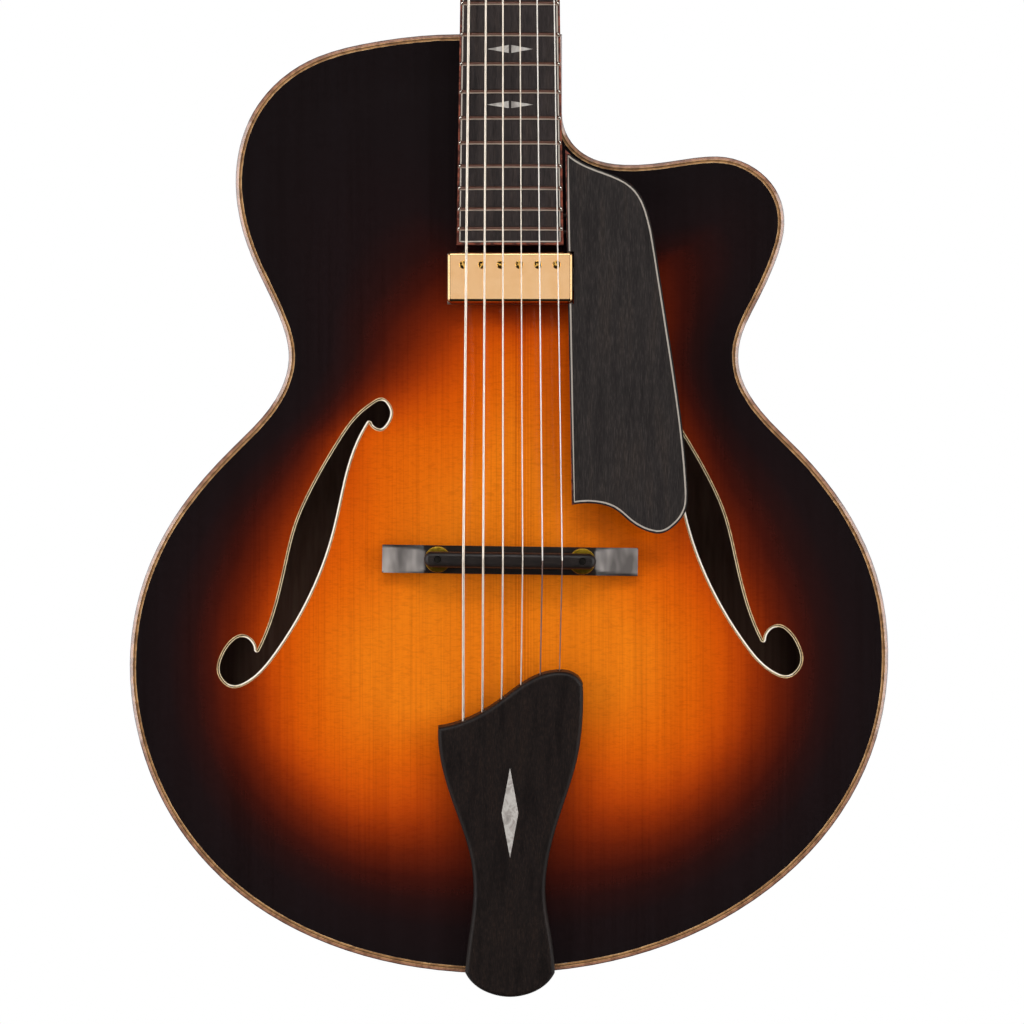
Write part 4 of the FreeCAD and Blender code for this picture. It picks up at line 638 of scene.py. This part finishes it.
# %% [markdown]
# ## Bindings
# A binding is a strip of wood let into an edge, with thin lines of other woods laid beside it. Every
# point of a strip keeps how far it lies across the strip, from the outer edge to the inner, and each
# binding's own colour ramp draws the lines. The outer half of the edge binding is also scraped to a slope,
# as it is by hand after gluing, and so is the inner half round the sound holes. These slopes catch the side
# lights as pale lines.

# %% Binding finish
MOTTLE = 4.0 * MM


def binding_wood(name, mottling, mottled_to, lines):
    """Wood strips side by side: where across the strip the mottle ends, and where each colour starts."""
    material, tree, shader = new_material(name, {
        "Roughness": 0.35, "Coat Weight": 0.8, "Coat Roughness": 0.08})
    strip = kept_value(tree, "across")
    plies = add_node(tree, "ValToRGB", {"Fac": strip}, lines)
    plies.color_ramp.interpolation = "CONSTANT"
    figure = object_noise(tree, [1 / MOTTLE] * 3, Detail=4.0, Roughness=0.7)
    tone = ramp(tree, figure, [(0.42, "#8a7468"), (0.57, "#ffffff")])
    outer = calculate(tree, "LESS_THAN", strip, mottled_to)
    share = calculate(tree, "MULTIPLY", outer, mottling)
    feed(shader, {"Base Color": multiply(tree, share, plies.outputs["Color"], tone)})
    return material


edge_wood = binding_wood("rosewood_edge_binding", 0.6, 1.0, [
    (0.0, "#4e2a20"), (0.14, "#a9765a"), (0.44, "#b98a58"), (0.56, "#4a3020"), (0.66, "#a87a4a"),
    (0.85, "#d0a878"), (0.95, "#120b08")])
hole_wood = binding_wood("sound_hole_binding", 0.6, 0.32, [
    (0.0, "#d8b684"), (0.30, "#1e1a12"), (0.56, "#dcc7a0"), (0.82, "#fff4e6")])
board_wood = binding_wood("rosewood_board_binding", 1.0, 0.66, [
    (0.0, "#8a4530"), (0.66, "#241410"), (0.76, "#b5aca0")])
guard_wood = binding_wood("rosewood_guard_binding", 1.0, 0.62, [
    (0.0, "#7e4133"), (0.62, "#150f0d"), (0.80, "#aaa196")])
print("four finishes of binding")

# %% Edge bindings of the body
SCRAPE_DROP = 0.72 * MM
ON_RIM = 0.2 * MM
ON_FACE = 0.05 * MM


def cut_face_lengthwise(piece, on_face, on_rim):
    """Cut the face of a binding down its middle: halve every edge that runs across from its rim."""
    def runs_across(edge):
        first, second = edge.vertices
        return on_face[first] and on_face[second] and on_rim[first] != on_rim[second]

    select_in(piece, "EDGE", runs_across)
    bpy.ops.mesh.subdivide(number_cuts=1)
    to_mode("OBJECT")


def scrape_edge(piece, facing):
    """Scrape the outer half of an edge binding to a slope: cut its face and lower its rim."""
    points = points_of(piece)
    on_rim = distance_to(OUTLINE, points) < ON_RIM
    on_face = np.abs(points[:, 1] * facing.y - EDGE_HEIGHT) < ON_FACE
    cut_face_lengthwise(piece, on_face, on_rim)
    points = points_of(piece)
    on_rim = distance_to(OUTLINE, points) < ON_RIM
    lowered = on_rim & (points[:, 1] * facing.y > EDGE_HEIGHT - SCRAPE_DROP)
    points[lowered, 1] = (EDGE_HEIGHT - SCRAPE_DROP) * facing.y
    set_points(piece, points)
    merge_points(piece)


def strip_across(piece, outer, inner):
    """Share of the way from a strip's outer edge to its inner edge, at each point."""
    points = points_of(piece)
    to_outer = distance_to(outer, points)
    to_inner = distance_to(inner, points)
    return to_outer / np.maximum(to_outer + to_inner, 1e-9)


back_edge_binding = copy_node("back_binding", "back_edge_binding")
for piece, facing, node in (
        (top_edge_binding, FRONT, "top_binding"), (back_edge_binding, BACK, "back_binding")):
    scrape_edge(piece, facing)
    set_value(piece, "across", strip_across(piece, OUTLINE, INNER_RIM))
    smooth(piece, 15)
    finish_piece(piece, edge_wood, "body", "binding_wood", node)

# %% Binding of the sound holes
# Towards the middle of the top the arch turns the strip to the light, so its white inner line is painted
# broad there as a painted highlight; on the side away from the middle the white line is left out, as painted
# shade
HOLE_DROP = 0.3 * MM
HOLE_EDGE = 0.15 * MM
FAR_SIDE_SHADE_SHARE = 0.8
PAINTED_HIGHLIGHT_LIFT = 0.28
LEAN_START, LEAN_RUN = -0.1, 0.6


def nearest_on(row, points):
    """The point of a row that is nearest to each point, seen from the front."""
    least = np.full(len(points), np.inf)
    nearest = np.zeros((len(points), 3))
    for place in row:
        gap = np.hypot(points[:, 0] - place[0], points[:, 2] - place[2])
        nearer = gap < least
        least[nearer] = gap[nearer]
        nearest[nearer] = place
    return nearest


sound_hole_bindings = copy_node("f_hole_bindings", "sound_hole_bindings")
hole_rows = [even_points(row, 0.2 * MM) for row in ring_edges(sound_hole_bindings, FRONT)]
print([round(len_of_ring(row), 3) for row in hole_rows])
outer_row = np.vstack(hole_rows[:2])
inner_row = np.vstack(hole_rows[2:4])
points = points_of(sound_hole_bindings)
on_face = np.zeros(len(points), bool)
for face in sound_hole_bindings.data.polygons:
    if face.normal.dot(FRONT) > FACING:
        on_face[list(face.vertices)] = True
lowered = on_face & (distance_to(inner_row, points) < HOLE_EDGE)
cut_face_lengthwise(sound_hole_bindings, on_face, lowered)
points = points_of(sound_hole_bindings)
points[:len(lowered)][lowered, 1] += HOLE_DROP
set_points(sound_hole_bindings, points)
inwards = nearest_on(inner_row, points) - nearest_on(outer_row, points)
lean = inwards[:, 0] * np.sign(points[:, 0]) / np.maximum(np.hypot(inwards[:, 0], inwards[:, 2]), MERGE)
lean = np.clip((lean - LEAN_START) / LEAN_RUN, 0, 1)
across = strip_across(sound_hole_bindings, outer_row, inner_row)
# Painted highlight and shade: the white line widens where the strip leans to the middle, and drops out on the
# far side
across = across * (FAR_SIDE_SHADE_SHARE + (1 - FAR_SIDE_SHADE_SHARE) * lean) + PAINTED_HIGHLIGHT_LIFT * lean * 4 * across * (1 - across)
set_value(sound_hole_bindings, "across", across)
smooth(sound_hole_bindings, 15)
finish_piece(sound_hole_bindings, hole_wood, "body", "binding_wood", "f_hole_bindings")

# %% Bindings of the fingerboard and the pickguard
for node, bound, name, material in (
        ("fingerboard_binding", "fingerboard", "board_edge_binding", board_wood),
        ("pickguard_binding", "pickguard", "guard_edge_binding", guard_wood)):
    piece = copy_node(node, name)
    inside = copy_node(bound, "bound_piece")
    inner = np.vstack([even_points(row, 0.5 * MM) for row in ring_edges(inside, FRONT)])
    bpy.data.objects.remove(inside)
    reach = distance_to(inner, points_of(piece))
    set_value(piece, "across", 1 - reach / reach.max())
    smooth(piece)
    finish_piece(piece, material, "body", "binding_wood", node)

# %% [markdown]
# ## Ebony
# The fingerboard, pickguard, bridge and tailpiece are ebony, oiled or waxed, not lacquered. Close to, it is
# not black but charcoal in broad streaks, with fine pores along the grain that catch the light as short
# dashes. On the bridge the grain runs across the guitar; everywhere else it runs along it.

# %% Ebony finishes
PORE = 0.5 * MM
PORE_DEPTH = 0.05 * MM
STREAK = 5 * MM


def ebony(name, dark, middle, light, run, roughness, shine):
    """Ebony in three tones; run stretches the pores along x, y and z."""
    material, tree, shader = new_material(name, {"Roughness": roughness, "Specular IOR Level": shine})
    pores = object_noise(tree, [share / PORE for share in run], Detail=3.0, Roughness=0.7)
    tone = ramp(tree, pores, [(0.30, dark), (0.52, middle), (0.74, light)])
    streaks = object_noise(tree, [share / STREAK for share in run], Detail=3.0)
    shade = ramp(tree, streaks, [(0.34, "#c4bcbc"), (0.50, "#f0ecea"), (0.66, "#fff4ea")])
    dents = add_node(tree, "Bump", {"Height": pores, "Distance": PORE_DEPTH, "Strength": 0.35})
    feed(shader, {"Base Color": multiply(tree, 1.0, tone, shade), "Normal": dents.outputs["Normal"]})
    return material


ALONG = (1.0, 1.0, 0.06)
ACROSS = (0.06, 1.0, 1.0)
board_ebony = ebony("fingerboard_ebony", "#211b1b", "#322b2a", "#443b39", ALONG, 0.5, 0.22)
guard_ebony = ebony("pickguard_ebony", "#1b1716", "#292423", "#413b38", ALONG, 0.5, 0.22)
tail_ebony = ebony("tailpiece_ebony", "#140e0d", "#1e1614", "#31251f", ALONG, 0.45, 0.25)
bridge_ebony = ebony("bridge_ebony", "#15110f", "#221b19", "#352b27", ACROSS, 0.42, 0.35)
foot_ebony = ebony("bridge_foot_ebony", "#14100f", "#201a18", "#322925", ACROSS, 0.4, 0.4)
dress(["fingerboard"], board_ebony)
dress(["pickguard", "pickguard_support"], guard_ebony)
dress(["tailpiece", "headstock_veneer", "heel_cap"], tail_ebony)
dress(["bridge_saddle"], bridge_ebony)
print("five finishes of ebony")

# %% Painted sheen on the ends of the bridge's foot
# The scooped ends of the foot are painted pale inside their dark edges, a painted sheen where the side lights
# shine; under the saddle it is still dark
FOOT_FLAT = 45.5 * MM
SHEEN_START = 0.68
SHEEN_INSET = 0.5 * MM
SHEEN_EDGE = 1.0 * MM
SHEEN_CLOUD = 9 * MM
bridge_foot = copy_node("bridge_base", "bridge_foot")
cut_grid(bridge_foot, 0, 1.5 * MM)
cut_grid(bridge_foot, 2, 1.0 * MM)
points = points_of(bridge_foot)
low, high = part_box("bridge_base")
half = (high - low) / 2
out = np.clip((np.abs(points[:, 0] - low.x - half.x) - FOOT_FLAT) / (half.x - FOOT_FLAT), 0, 1)
reach = half.z * (SHEEN_START + (1 - SHEEN_START) * np.sqrt(out)) - SHEEN_INSET
aside = np.abs(points[:, 2] - low.z - half.z)
set_value(bridge_foot, "painted_sheen", np.clip((reach - aside) / SHEEN_EDGE, 0, 1) * (out > 0) * (out < 1))
tree = foot_ebony.node_tree
shader = tree.nodes["Principled BSDF"]
cloud = object_noise(tree, (1 / SHEEN_CLOUD, 1 / SHEEN_CLOUD, 0.4 / SHEEN_CLOUD), Detail=2.0)
# Painted sheen: pale greys laid over the scooped ends where the kept value says
rubbed = ramp(tree, cloud, [(0.36, "#5c5653"), (0.50, "#7f7874"), (0.64, "#a29a95")])
dark = shader.inputs["Base Color"].links[0].from_socket
mixed = add_node(tree, "Mix", {
    MIX_FACTOR: kept_value(tree, "painted_sheen"), MIX_A: dark, MIX_B: rubbed}, data_type="RGBA")
feed(shader, {"Base Color": mixed.outputs[MIX_RESULT]})
smooth(bridge_foot)
finish_piece(bridge_foot, foot_ebony, "body", "ebony", "bridge_base")

# %% [markdown]
# ## Metal, bone, tape and plastic
# The hardware is plated with gold: polished on the pickup cover, softer on the tuners. The thumbwheels are
# plain brass gone olive. The plain strings are bare steel, the others wound with nickel-plated wire. Handling
# leaves every one of them a little uneven, so each finish drifts between two tones over marks of its own
# size, and its roughness and height drift with them.

# %% Small finishes
FINISHES = {
    # Two tones, metallic, roughness, size of the marks and the nodes that wear it
    "polished_gold_plate": ("#e4b47f", "#ecbe8b", 1.0, 0.09, 9 * MM, []),
    "gold_plate": ("#d6a863", "#e2b572", 1.0, 0.24, 14 * MM, [
        "tuner_housings", "tuner_bushings", "tailpiece_bracket", "output_jack", "jack_nut", "strap_button"]
        + [f"tuner_post_{i}" for i in range(1, 7)] + [f"tuner_button_{i}" for i in range(1, 7)]),
    "brass": ("#8d701c", "#a5862a", 1.0, 0.36, 2 * MM, []),
    "yellow_brass": ("#dda955", "#ecbc68", 1.0, 0.09, 1.5 * MM, []),
    # Painted shade: the bridge's posts are near black so that the saddle's holes look dark; the pickguard's
    # pins share this finish
    "dark_steel_painted_post_shade": ("#232120", "#34302c", 1.0, 0.5, 1.5 * MM, ["bridge_posts", "pickguard_pins"]),
    "polished_fret_wire": ("#e0d6c8", "#f0eae0", 1.0, 0.15, 1 * MM, []),
    "drawn_steel": ("#ece4da", "#f6f0e8", 1.0, 0.42, 5 * MM, ["truss_rod"]),
    # Painted reflection: the plain strings below the saddle are darker, for the dark room they mirror
    "steel_painted_dark_reflection": ("#7c6760", "#907b74", 1.0, 0.42, 5 * MM, []),
    "nickel_winding": ("#e9dccb", "#f4e9da", 1.0, 0.42, 4 * MM, []),
    "plated_pot_can": ("#9b9995", "#b6b4b0", 1.0, 0.4, 3 * MM, ["volume_pot", "pickup_base"]),
    "alnico": ("#615c57", "#7d7771", 1.0, 0.55, 1 * MM, ["pickup_magnet"]),
    "bone": ("#dccfb2", "#f0e8d4", 0.0, 0.4, 1.5 * MM, ["nut"]),
    "coil_tape": ("#120f0c", "#1d1813", 0.0, 0.6, 4 * MM, ["pickup_coils"]),
    "moulded_plastic": ("#100f0f", "#191818", 0.0, 0.35, 1 * MM, ["volume_wheel"]),
}
MARK_HEIGHT = 0.001 * MM
LEAST_ROUGH, MOST_ROUGH = 0.85, 1.2
finishes = {}
for name, (dark, light, metallic, roughness, mark, dressed) in FINISHES.items():
    finishes[name], tree, shader = new_material(name, {"Metallic": metallic})
    marks = object_noise(tree, [1 / mark] * 3, Detail=2.0)
    tone = ramp(tree, marks, [(0.35, dark), (0.65, light)])
    rubbed = add_node(tree, "MapRange", {
        "Value": marks, "From Min": 0.3, "From Max": 0.7,
        "To Min": LEAST_ROUGH * roughness, "To Max": MOST_ROUGH * roughness})
    dents = add_node(tree, "Bump", {"Height": marks, "Distance": MARK_HEIGHT, "Strength": 0.3})
    feed(shader, {"Base Color": tone, "Roughness": rubbed.outputs["Result"],
                  "Normal": dents.outputs["Normal"]})
    dress(dressed, finishes[name])
print(len(FINISHES), "small finishes")

# %% [markdown]
# ## Pearl
# The inlays are slices of shell. Its layers are cut at a slant, so it is cloudy: grey, lilac and cream drift
# into each other over a few millimetres, under a hard polish.

# %% Pearl
PEARL_CLOUD = 7.0 * MM
pearl, tree, shader = new_material("mother_of_pearl", {"Roughness": 0.25, "Coat Weight": 0.6})
cloud = object_noise(tree, [1 / PEARL_CLOUD] * 3, Detail=3.0, Distortion=1.2)
tone = ramp(tree, cloud, [(0.30, "#8f8984"), (0.45, "#a8a19b"), (0.55, "#bfbab4"), (0.70, "#9c938e")])
feed(shader, {"Base Color": tone})
dress(["fingerboard_inlays", "tailpiece_inlay"], pearl)
print(pearl.name)

# %% [markdown]
# ## Frets
# A fret is drawn wire with a round crown, pressed into the board. The side of the crown towards the nut is
# painted brown and the side towards the bridge painted pale: a painted reflection, dark from above and bright
# from below. Every point keeps which way it faces, and the finish reads that.

# %% Frets
crowned_frets = copy_node("frets", "crowned_frets")
set_value(crowned_frets, "upward", [(1 + point.normal.z) / 2 for point in crowned_frets.data.vertices])
fret_wire, tree, shader = new_material("fret_wire", {"Metallic": 0.35, "Roughness": 0.32})
# Painted reflection: pale on the flank towards the bridge, brown on the flank towards the nut
tone = ramp(tree, kept_value(tree, "upward"), [
    (0.12, "#d8c6b6"), (0.28, "#bfa593"), (0.40, "#5e3828"), (1.0, "#3c2318")])
feed(shader, {"Base Color": tone})
smooth(crowned_frets, 50)
finish_piece(crowned_frets, fret_wire, "body", "fret_wire", "frets")

# %% [markdown]
# ## Strings cut at the saddle
# A string runs straight from the tailpiece to the saddle and on to the nut. Each run is a piece of its own,
# cut from the carried-over strings at the saddle. Light spreads in a lens, so a thin bright wire looks
# stouter than it is; the wires are swelled a little for that.

# %% Strings
CREST_Z = 222.5 * MM
SWELL = {"plain_strings": 0.15 * MM, "wound_strings": 0.01 * MM}


def string_run(node, name, above):
    """One run of the strings of a node: above the saddle, or below it."""
    piece = copy_node(node, name)
    to_mode("EDIT")
    bpy.ops.mesh.select_all(action="SELECT")
    bpy.ops.transform.shrink_fatten(value=SWELL[node])
    bpy.ops.mesh.bisect(plane_co=(0, 0, CREST_Z), plane_no=(0, 0, 1), use_fill=True,
                        clear_inner=above, clear_outer=not above)
    to_mode("OBJECT")
    smooth(piece, 50)
    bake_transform(piece)
    return piece


for node, above, name, finish, slot in (
        ("plain_strings", True, "upper_plain_strings", "drawn_steel", "steel"),
        ("plain_strings", False, "lower_plain_strings", "steel_painted_dark_reflection", "steel"),
        ("wound_strings", True, "upper_wound_strings", "nickel_winding", "string_winding"),
        ("wound_strings", False, "lower_wound_strings", "nickel_winding", "string_winding")):
    finish_piece(string_run(node, name, above), finishes[finish], None, slot, node)

# %% [markdown]
# ## Screws
# Under each string a screw stands in the pickup's cover, to be turned for loudness. Smaller ones hold the
# covers of the tuners' gears and the cover of the truss rod. A screw's head is a low dome with a slot. It is
# turned from a cylinder: the edge is rounded over, and a bar is cut out of the head.

# %% Helpers for built pieces
def node_points(name):
    """The points of a carried-over node as rows of an array."""
    return np.array([point.co for point in nodes[name].data.vertices])


def parts_along(points, axis, gap):
    """Split points into groups with at least a gap between them along an axis."""
    order = points[np.argsort(points[:, axis])]
    return np.split(order, np.nonzero(np.diff(order[:, axis]) > gap)[0] + 1)


def fresh(name):
    """Name the primitive just added and lay it at the origin, unturned and unscaled."""
    piece = bpy.context.object
    piece.name = name
    piece.data.name = name
    bpy.ops.object.transform_apply(location=True, rotation=True, scale=True)
    return piece


def set_down(piece, place, turn):
    """Turn a piece and move it to its place, and leave its origin where the scene's is."""
    piece.rotation_euler = turn
    piece.location = place
    pick(piece)
    bpy.ops.object.transform_apply(location=True, rotation=True, scale=True)


def apply_modifier(piece, kind, **settings):
    """Give a piece a modifier with these settings and apply it."""
    pick(piece)
    modifier = piece.modifiers.new(kind.lower(), kind)
    for name, value in settings.items():
        setattr(modifier, name, value)
    bpy.ops.object.modifier_apply(modifier=modifier.name)


def bevel_edges(piece, chosen, size, steps, clamp=True):
    """Bevel the edges of a piece for which chosen(first point, second point) holds."""
    select_in(piece, "EDGE", lambda edge: chosen(*(piece.data.vertices[end].co for end in edge.vertices)))
    bpy.ops.mesh.bevel(offset=size, segments=steps, affect="EDGES", clamp_overlap=clamp)
    to_mode("OBJECT")


def join_all(pieces, name):
    """Join pieces into the first of them, under a name."""
    pick(pieces[0])
    for piece in pieces[1:]:
        piece.select_set(True)
    bpy.ops.object.join()
    pieces[0].name = name
    return pieces[0]


POLE_GAP = 2 * MM
poles = parts_along(node_points("pickup_poles"), 0, POLE_GAP)
print("the pickup has", len(poles), "poles")


# %% Turning a screw
def slotted_screw(front, rear, radius, dome, slot, turn):
    """Turn a screw from its front end to its rear end and cut a slot in its head."""
    axis = Vector(front) - Vector(rear)
    top = axis.length / 2
    bpy.ops.object.select_all(action="DESELECT")
    bpy.ops.mesh.primitive_cylinder_add(vertices=40, radius=radius, depth=axis.length, location=(0, 0, 0))
    screw = fresh("screw")
    bevel_edges(screw, lambda a, b: a.z > top - MERGE and b.z > top - MERGE, dome, 4)
    bpy.ops.object.select_all(action="DESELECT")
    bpy.ops.mesh.primitive_cube_add(size=1, location=(0, 0, top), scale=(slot, 3 * radius, 2 * slot),
                                    rotation=(0, 0, math.radians(turn)))
    bar = fresh("slot_bar")
    apply_modifier(screw, "BOOLEAN", object=bar, operation="DIFFERENCE")
    bpy.data.objects.remove(bar)
    set_down(screw, (Vector(front) + Vector(rear)) / 2, axis.to_track_quat("Z", "Y").to_euler())
    return screw


# Radius, rounding and slot of the headstock's two kinds of screw
HOUSING_SCREW = (2.2 * MM, 0.6 * MM, 0.5 * MM)
COVER_SCREW = (1.4 * MM, 0.5 * MM, 0.35 * MM)
print("a tuner's screw is", 2 * HOUSING_SCREW[0], "m across")

# %% [markdown]
# ## Pickup
# The cover is pressed from sheet brass, so its corners and its rim are well rounded. It starts as a block of
# the node's size: the corners are rounded, then the rim of the front, the back is taken off, what is left is
# given the thickness of the sheet, and it is tilted as the node is.

# %% Pickup cover
COVER_CORNER = 2.2 * MM
COVER_RIM = 1.7 * MM
COVER_SHEET = 0.6 * MM
cover_face = max((face for face in nodes["pickup_cover"].data.polygons if face.normal.dot(FRONT) > FACING),
                 key=lambda face: face.area)
tilt = math.atan2(cover_face.normal.z, -cover_face.normal.y)
upright = np.array([[1, 0, 0], [0, -math.cos(tilt), math.sin(tilt)], [0, math.sin(tilt), math.cos(tilt)]])
laid_out = node_points("pickup_cover") @ upright.T
size = np.ptp(laid_out, axis=0)
middle = (laid_out.min(axis=0) + laid_out.max(axis=0)) / 2 @ upright
bpy.ops.object.select_all(action="DESELECT")
bpy.ops.mesh.primitive_cube_add(size=1, location=(0, 0, 0), scale=size.tolist())
pressed_cover = fresh("pressed_pickup_cover")
front_y = -size[1] / 2 + MERGE
bevel_edges(pressed_cover, lambda a, b: abs(a.y - b.y) > MERGE, COVER_CORNER, 6, clamp=False)
bevel_edges(pressed_cover, lambda a, b: a.y < front_y and b.y < front_y, COVER_RIM, 7, clamp=False)
select_in(pressed_cover, "FACE", lambda face: face.normal.dot(BACK) > FACING)
bpy.ops.mesh.delete(type="FACE")
to_mode("OBJECT")
apply_modifier(pressed_cover, "SOLIDIFY", thickness=COVER_SHEET, offset=-1)
set_down(pressed_cover, middle, (-tilt, 0, 0))
smooth(pressed_cover, 30)
apply_modifier(pressed_cover, "WEIGHTED_NORMAL", weight=100)
finish_piece(pressed_cover, finishes["polished_gold_plate"], "body", "gold", "pickup_cover")
flagged.objects.link(pressed_cover)
print("cover tilts", round(math.degrees(tilt), 1), "degrees")

# %% Pole screws
POLE_ROUNDING = 0.4 * MM
POLE_SLOT = 0.7 * MM
SLOT_TURNS = [20, -35, 70, 10, -60, 35]
screws = []
for pole, turn in zip(poles, SLOT_TURNS):
    laid_out = pole @ upright.T
    across, rear_depth, along = laid_out.min(axis=0)
    radius = np.ptp(laid_out[:, 0]) / 2
    front = np.array([across + radius, laid_out[:, 1].max(), along + radius]) @ upright
    rear = np.array([across + radius, rear_depth, along + radius]) @ upright
    screws.append(slotted_screw(front, rear, radius, POLE_ROUNDING, POLE_SLOT, turn))
pole_screws = join_all(screws, "pole_screws")
smooth(pole_screws, 40)
finish_piece(pole_screws, finishes["yellow_brass"], "body", "steel", "pickup_poles")
flagged.objects.link(pole_screws)

# %% Which way the headstock faces
# The headstock leans back, and the tuners' posts stand along it, so two of them give its lean
along = node_points("tuner_post_3").mean(axis=0) - node_points("tuner_post_1").mean(axis=0)
lean = math.atan2(along[1], along[2])
forward = np.array([0, -math.cos(lean), math.sin(lean)])
print("headstock leans", round(math.degrees(lean), 1), "degrees")

# %% Cover of the truss rod
# The cover is cut from black sheet with a white core, which shows as a line round its sloped edge
rod_cover = copy_node("truss_rod_cover", "edged_truss_rod_cover")
finish_piece(rod_cover, tail_ebony, "body", "ebony", "truss_rod_cover")
rod_cover.data.materials.append(finishes["bone"])
for face in rod_cover.data.polygons:
    face.material_index = 0 if abs(face.normal.dot(Vector(forward))) > FACING else 1

# %% Screws of the headstock
HOUSING_GAP = 4 * MM
NEAR_FACE = 0.3 * MM
NEAR_COVER_FACE = 0.2 * MM
STAND = 0.9 * MM
COVER_STAND = 0.7 * MM
SUNK = 0.6 * MM
# Each screw of the cover: share of its half width, and of its length from the nut
COVER_SCREWS = ((-0.55, 0.14), (0.55, 0.14), (0.0, 0.84))
screws = []
for side in (-1, 1):
    housings = node_points("tuner_housings")
    housings = housings[housings[:, 0] * side > 0]
    for housing in parts_along(housings, 2, HOUSING_GAP):
        rise = -housing @ forward
        rear = housing[rise > rise.max() - NEAR_FACE]
        centre = (rear.min(axis=0) + rear.max(axis=0)) / 2
        screws.append(slotted_screw(centre - STAND * forward, centre + SUNK * forward, *HOUSING_SCREW,
                                    25 * side + len(screws) * 40))
cover = node_points("truss_rod_cover")
rise = cover @ forward
face = cover[rise > rise.max() - NEAR_COVER_FACE]
for across, share in COVER_SCREWS:
    x = across * face[:, 0].max()
    z = face[:, 2].min() + share * np.ptp(face[:, 2])
    centre = np.array([x, (rise.max() - forward[2] * z) / forward[1], z])
    screws.append(slotted_screw(centre + COVER_STAND * forward, centre - SUNK * forward, *COVER_SCREW,
                                15 + len(screws) * 50))
head_screws = join_all(screws, "headstock_screws")
smooth(head_screws, 40)
finish_piece(head_screws, finishes["gold_plate"], "body", "gold")

# %% [markdown]
# ## Thumbwheels
# A thumbwheel is a brass nut, thin and wide, with a milled rim for the fingertips. It starts as a circle.
# Every second point is drawn in a little, which makes the milling, then the circle is filled in to the bore
# and thickened, and the corners are broken.

# %% Thumbwheels
MILLING = 0.955
TEETH = 52
BORE_RADIUS = 2.1 * MM
WHEEL_EDGE = 0.5 * MM


def thumbwheel(node, body):
    """Build a milled thumbwheel in the place of a node, on its body."""
    low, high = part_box(node)
    radius = (high.x - low.x) / 2
    centre = (low + high) / 2
    bpy.ops.object.select_all(action="DESELECT")
    bpy.ops.mesh.primitive_circle_add(vertices=2 * TEETH, radius=radius, fill_type="NOTHING")
    wheel = fresh(f"milled_{node}")
    for point in list(wheel.data.vertices)[::2]:
        point.co *= MILLING
    to_mode("EDIT")
    bpy.ops.mesh.select_all(action="SELECT")
    bpy.ops.mesh.extrude_edges_move()
    drawn_in = BORE_RADIUS / radius
    bpy.ops.transform.resize(value=(drawn_in, drawn_in, 1), center_override=(0, 0, 0))
    bpy.ops.mesh.select_all(action="SELECT")
    bpy.ops.mesh.extrude_region_move(TRANSFORM_OT_translate={"value": (0, 0, high.y - low.y)})
    bpy.ops.mesh.select_all(action="SELECT")
    bpy.ops.mesh.normals_make_consistent(inside=False)
    to_mode("OBJECT")
    rim = 0.9 * radius
    bevel_edges(wheel, lambda a, b: abs(a.z - b.z) < MERGE and min(a.xy.length, b.xy.length) > rim,
                WHEEL_EDGE, 2)
    set_down(wheel, (centre.x, high.y, centre.z), (math.radians(90), 0, 0))
    smooth(wheel, 30)
    finish_piece(wheel, finishes["brass"], body, "steel", node)


thumbwheel("thumbwheel_bass", "wheel_bass")
thumbwheel("thumbwheel_treble", "wheel_treble")

# %% [markdown]
# ## Fret ends
# On a bound board each fret's end is filed to a little ball over the binding, so that the hand slides past
# it. The balls are the bright dots down both edges of the board. Each one is a low sphere set into the end of
# its fret.

# %% Fret ends
FRET_GAP = 1.5 * MM
NEAR_END = 0.3 * MM
BALL_RADIUS = 1.0 * MM
BALL_IN = 0.9 * BALL_RADIUS
BALL_DOWN = 0.72 * BALL_RADIUS
balls = []
for fret in parts_along(node_points("frets"), 2, FRET_GAP):
    for side in (-1, 1):
        out = fret[:, 0] * side
        end = fret[out > out.max() - NEAR_END]
        crown = end[:, 1].min()
        bpy.ops.object.select_all(action="DESELECT")
        bpy.ops.mesh.primitive_uv_sphere_add(
            segments=16, ring_count=10, radius=BALL_RADIUS, scale=(1, 0.9, 1),
            location=(end[:, 0].mean() - side * BALL_IN, crown + BALL_DOWN, end[:, 2].mean()))
        balls.append(fresh("fret_ball"))
fret_ends = join_all(balls, "fret_ends")
smooth(fret_ends, 60)
finish_piece(fret_ends, finishes["polished_fret_wire"], "body", "fret_wire")

# %% End
print("the scene is built")
